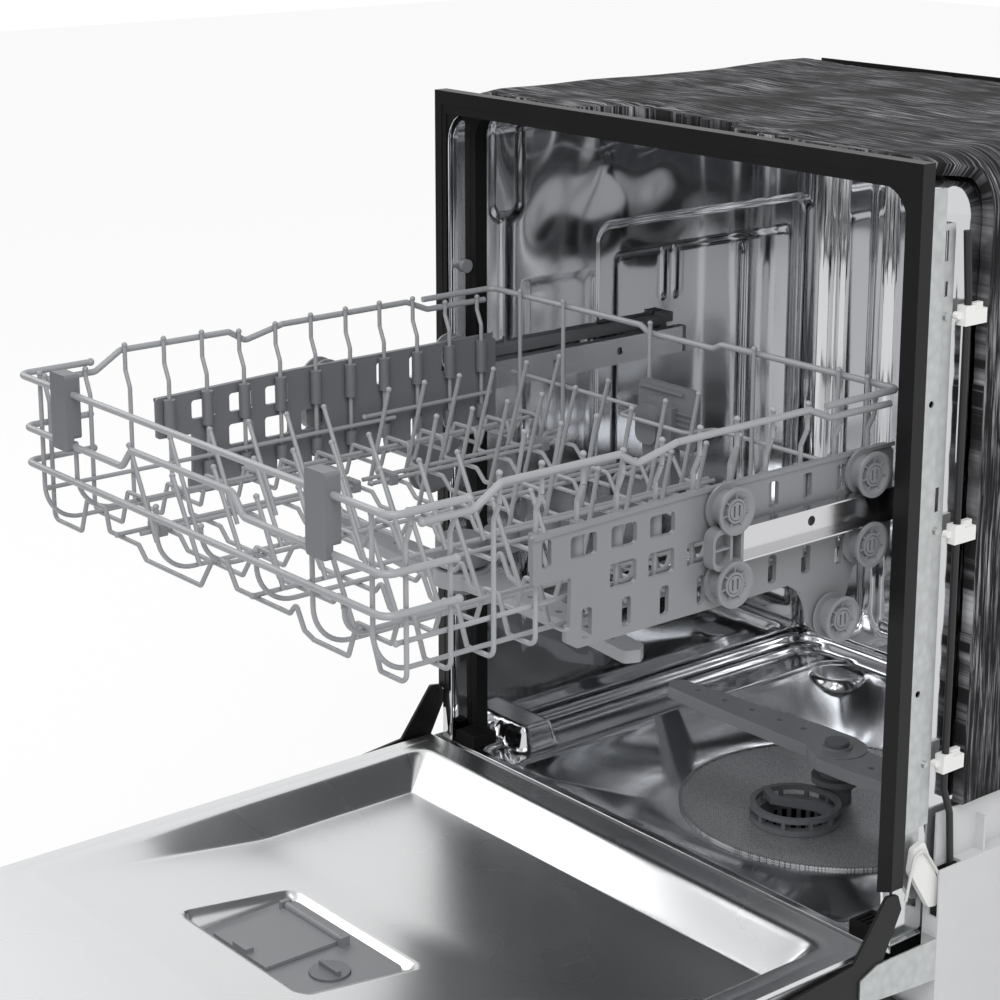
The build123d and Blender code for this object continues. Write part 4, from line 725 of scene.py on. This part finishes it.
def stage_floor():
    """Pale floor that shows as white and keeps a faint share of the shadow."""
    material, tree, shader, _ = new_material("Matt white paper floor")
    shader.inputs["Base Color"].default_value = linear("#F6F6F6")
    shader.inputs["Roughness"].default_value = 0.9
    glow = add(tree, "ShaderNodeEmission", inputs={"Color": linear("#FFFFFF"), "Strength": 1.0})
    share = add(tree, "ShaderNodeMath", {0: (seen_directly(tree), "Value")}, {1: FLOOR_GLOW},
                operation="MULTIPLY")
    both = add(tree, "ShaderNodeMixShader", {0: (share, "Value"), 1: (shader, "BSDF"),
                                             2: (glow, "Emission")})
    tree.links.new(both.outputs["Shader"], tree.nodes["Material Output"].inputs["Surface"])
    mesh = bpy.data.meshes.new("studio_floor")
    half = FLOOR_HALF
    mesh.from_pydata([(-half, -half, 0), (half, -half, 0), (half, half, 0), (-half, half, 0)],
                     [], [(0, 1, 2, 3)])
    mesh.materials.append(material)
    floor = bpy.data.objects.new("studio_floor", mesh)
    floor.location = (0, 0, -FLOOR_DROP)
    bpy.context.scene.collection.objects.link(floor)


def stage_flag(name, corners):
    """Black card beside the picture that only the steel mirrors."""
    material, _, shader, _ = new_material(name)
    shader.inputs["Base Color"].default_value = linear("#0A0A0A")
    shader.inputs["Roughness"].default_value = 0.9
    mesh = bpy.data.meshes.new(name)
    mesh.from_pydata(corners, [], [(0, 1, 2, 3)])
    mesh.materials.append(material)
    flag = bpy.data.objects.new(name, mesh)
    flag.visible_camera = False
    flag.visible_diffuse = False
    flag.visible_shadow = False
    bpy.context.scene.collection.objects.link(flag)


def lamp(name, place, target, size, power):
    """Square soft lamp that faces a point."""
    data = bpy.data.lights.new(name, "AREA")
    data.shape = "SQUARE"
    data.size = size
    data.energy = power
    made = bpy.data.objects.new(name, data)
    made.location = place
    aim = [target[i] - place[i] for i in range(3)]
    flat = math.hypot(aim[0], aim[1])
    made.rotation_euler = (math.pi / 2 + math.atan2(aim[2], flat), 0,
                           math.atan2(aim[1], aim[0]) - math.pi / 2)
    bpy.context.scene.collection.objects.link(made)


def stage_world():
    """White for what the camera, metal and glass see, and a softer white that lights."""
    world = bpy.data.worlds.new("Studio")
    bpy.context.scene.world = world
    world.use_nodes = True
    tree = world.node_tree
    tree.nodes.clear()
    light = add(tree, "ShaderNodeBackground",
                inputs={"Color": linear("#FFFFFF"), "Strength": LIGHT_STRENGTH})
    white = add(tree, "ShaderNodeBackground", inputs={"Color": linear("#FFFFFF"), "Strength": 1.0})
    both = add(tree, "ShaderNodeMixShader", {0: (seen_directly(tree), "Value"),
                                             1: (light, "Background"), 2: (white, "Background")})
    add(tree, "ShaderNodeOutputWorld", {"Surface": (both, "Shader")})


def stage_camera():
    """Camera at the angle of the picture, with everything sharp."""
    data = bpy.data.cameras.new("Camera")
    data.sensor_width = 36.0
    data.lens = 84.36
    data.shift_x = 0.0
    data.shift_y = -0.11
    data.clip_start = 0.05
    camera = bpy.data.objects.new("Camera", data)
    camera.location = CAMERA_PLACE
    camera.rotation_euler = [math.radians(v) for v in CAMERA_TURN]
    bpy.context.scene.collection.objects.link(camera)
    bpy.context.scene.camera = camera


# Operators and panel

class DISHWASHER_OT_tub(bpy.types.Operator):
    """Build the pressed steel tub."""
    bl_idname = "dishwasher.tub"
    bl_label = "Tub"

    def execute(self, context):
        sizes = context.scene.dishwasher_tub
        make_tub_walls(sizes)
        make_tub_rear(sizes)
        make_tub_pan(sizes)
        return {"FINISHED"}


class DISHWASHER_OT_door(bpy.types.Operator):
    """Build the inner sheet of the door."""
    bl_idname = "dishwasher.door"
    bl_label = "Door"

    def execute(self, context):
        make_door_tray(context.scene.dishwasher_door)
        return {"FINISHED"}


class DISHWASHER_OT_mat(bpy.types.Operator):
    """Build the felt mat over the tub."""
    bl_idname = "dishwasher.mat"
    bl_label = "Felt mat"

    def execute(self, context):
        mat, length = make_fibre_mat(context.scene.dishwasher_mat)
        return {"FINISHED"}


class DISHWASHER_OT_finishes(bpy.types.Operator):
    """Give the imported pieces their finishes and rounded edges."""
    bl_idname = "dishwasher.finishes"
    bl_label = "Finishes"

    def execute(self, context):
        paint_nodes(context.scene.dishwasher_colours)
        round_edges()
        return {"FINISHED"}


class DISHWASHER_OT_stage(bpy.types.Operator):
    """Build the floor, the lamps, the world and the camera."""
    bl_idname = "dishwasher.stage"
    bl_label = "Stage"

    def execute(self, context):
        stage_floor()
        stage_world()
        stage_camera()
        stage_flag("Black card, left", [(-2.6, -0.4, 0.0), (-1.1, -3.0, 0.0),
                                        (-1.1, -3.0, 1.4), (-2.6, -0.4, 1.4)])
        lamp("Key lamp", (1.6, -1.2, 2.6), (0, 0.2, 0.4), 1.6, 42)
        lamp("Fill lamp", (-2.3, -0.7, 2.2), (0, 0.0, 0.3), 1.7, 22)
        context.scene.view_settings.view_transform = "Standard"
        return {"FINISHED"}


class DISHWASHER_PT_pieces(bpy.types.Panel):
    """Sidebar panel with the pieces of the dishwasher."""
    bl_label = "Dishwasher"
    bl_idname = "DISHWASHER_PT_pieces"
    bl_space_type = "VIEW_3D"
    bl_region_type = "UI"
    bl_category = "Dishwasher"

    def draw(self, context):
        layout = self.layout
        for operator in OPERATORS:
            layout.operator(operator.bl_idname)
        for name in GROUPS:
            group = getattr(context.scene, name)
            column = layout.column()
            for key in group.__annotations__:
                column.prop(group, key)


GROUPS = {
    "dishwasher_tub": TubSizes,
    "dishwasher_door": DoorSizes,
    "dishwasher_mat": MatSizes,
    "dishwasher_colours": PlasticColours,
}
OPERATORS = (DISHWASHER_OT_tub, DISHWASHER_OT_door, DISHWASHER_OT_mat,
             DISHWASHER_OT_finishes, DISHWASHER_OT_stage)


def register():
    for group in GROUPS.values():
        bpy.utils.register_class(group)
    for name, group in GROUPS.items():
        setattr(bpy.types.Scene, name, bpy.props.PointerProperty(type=group))
    for operator in OPERATORS:
        bpy.utils.register_class(operator)
    bpy.utils.register_class(DISHWASHER_PT_pieces)


def unregister():
    bpy.utils.unregister_class(DISHWASHER_PT_pieces)
    for operator in reversed(OPERATORS):
        bpy.utils.unregister_class(operator)
    for name in GROUPS:
        delattr(bpy.types.Scene, name)
    for group in reversed(GROUPS.values()):
        bpy.utils.unregister_class(group)


def main():
    """Register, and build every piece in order."""
    register()
    bpy.ops.dishwasher.tub()
    bpy.ops.dishwasher.door()
    bpy.ops.dishwasher.mat()
    bpy.ops.dishwasher.finishes()
    bpy.ops.dishwasher.stage()


if __name__ == "__main__":
    main()
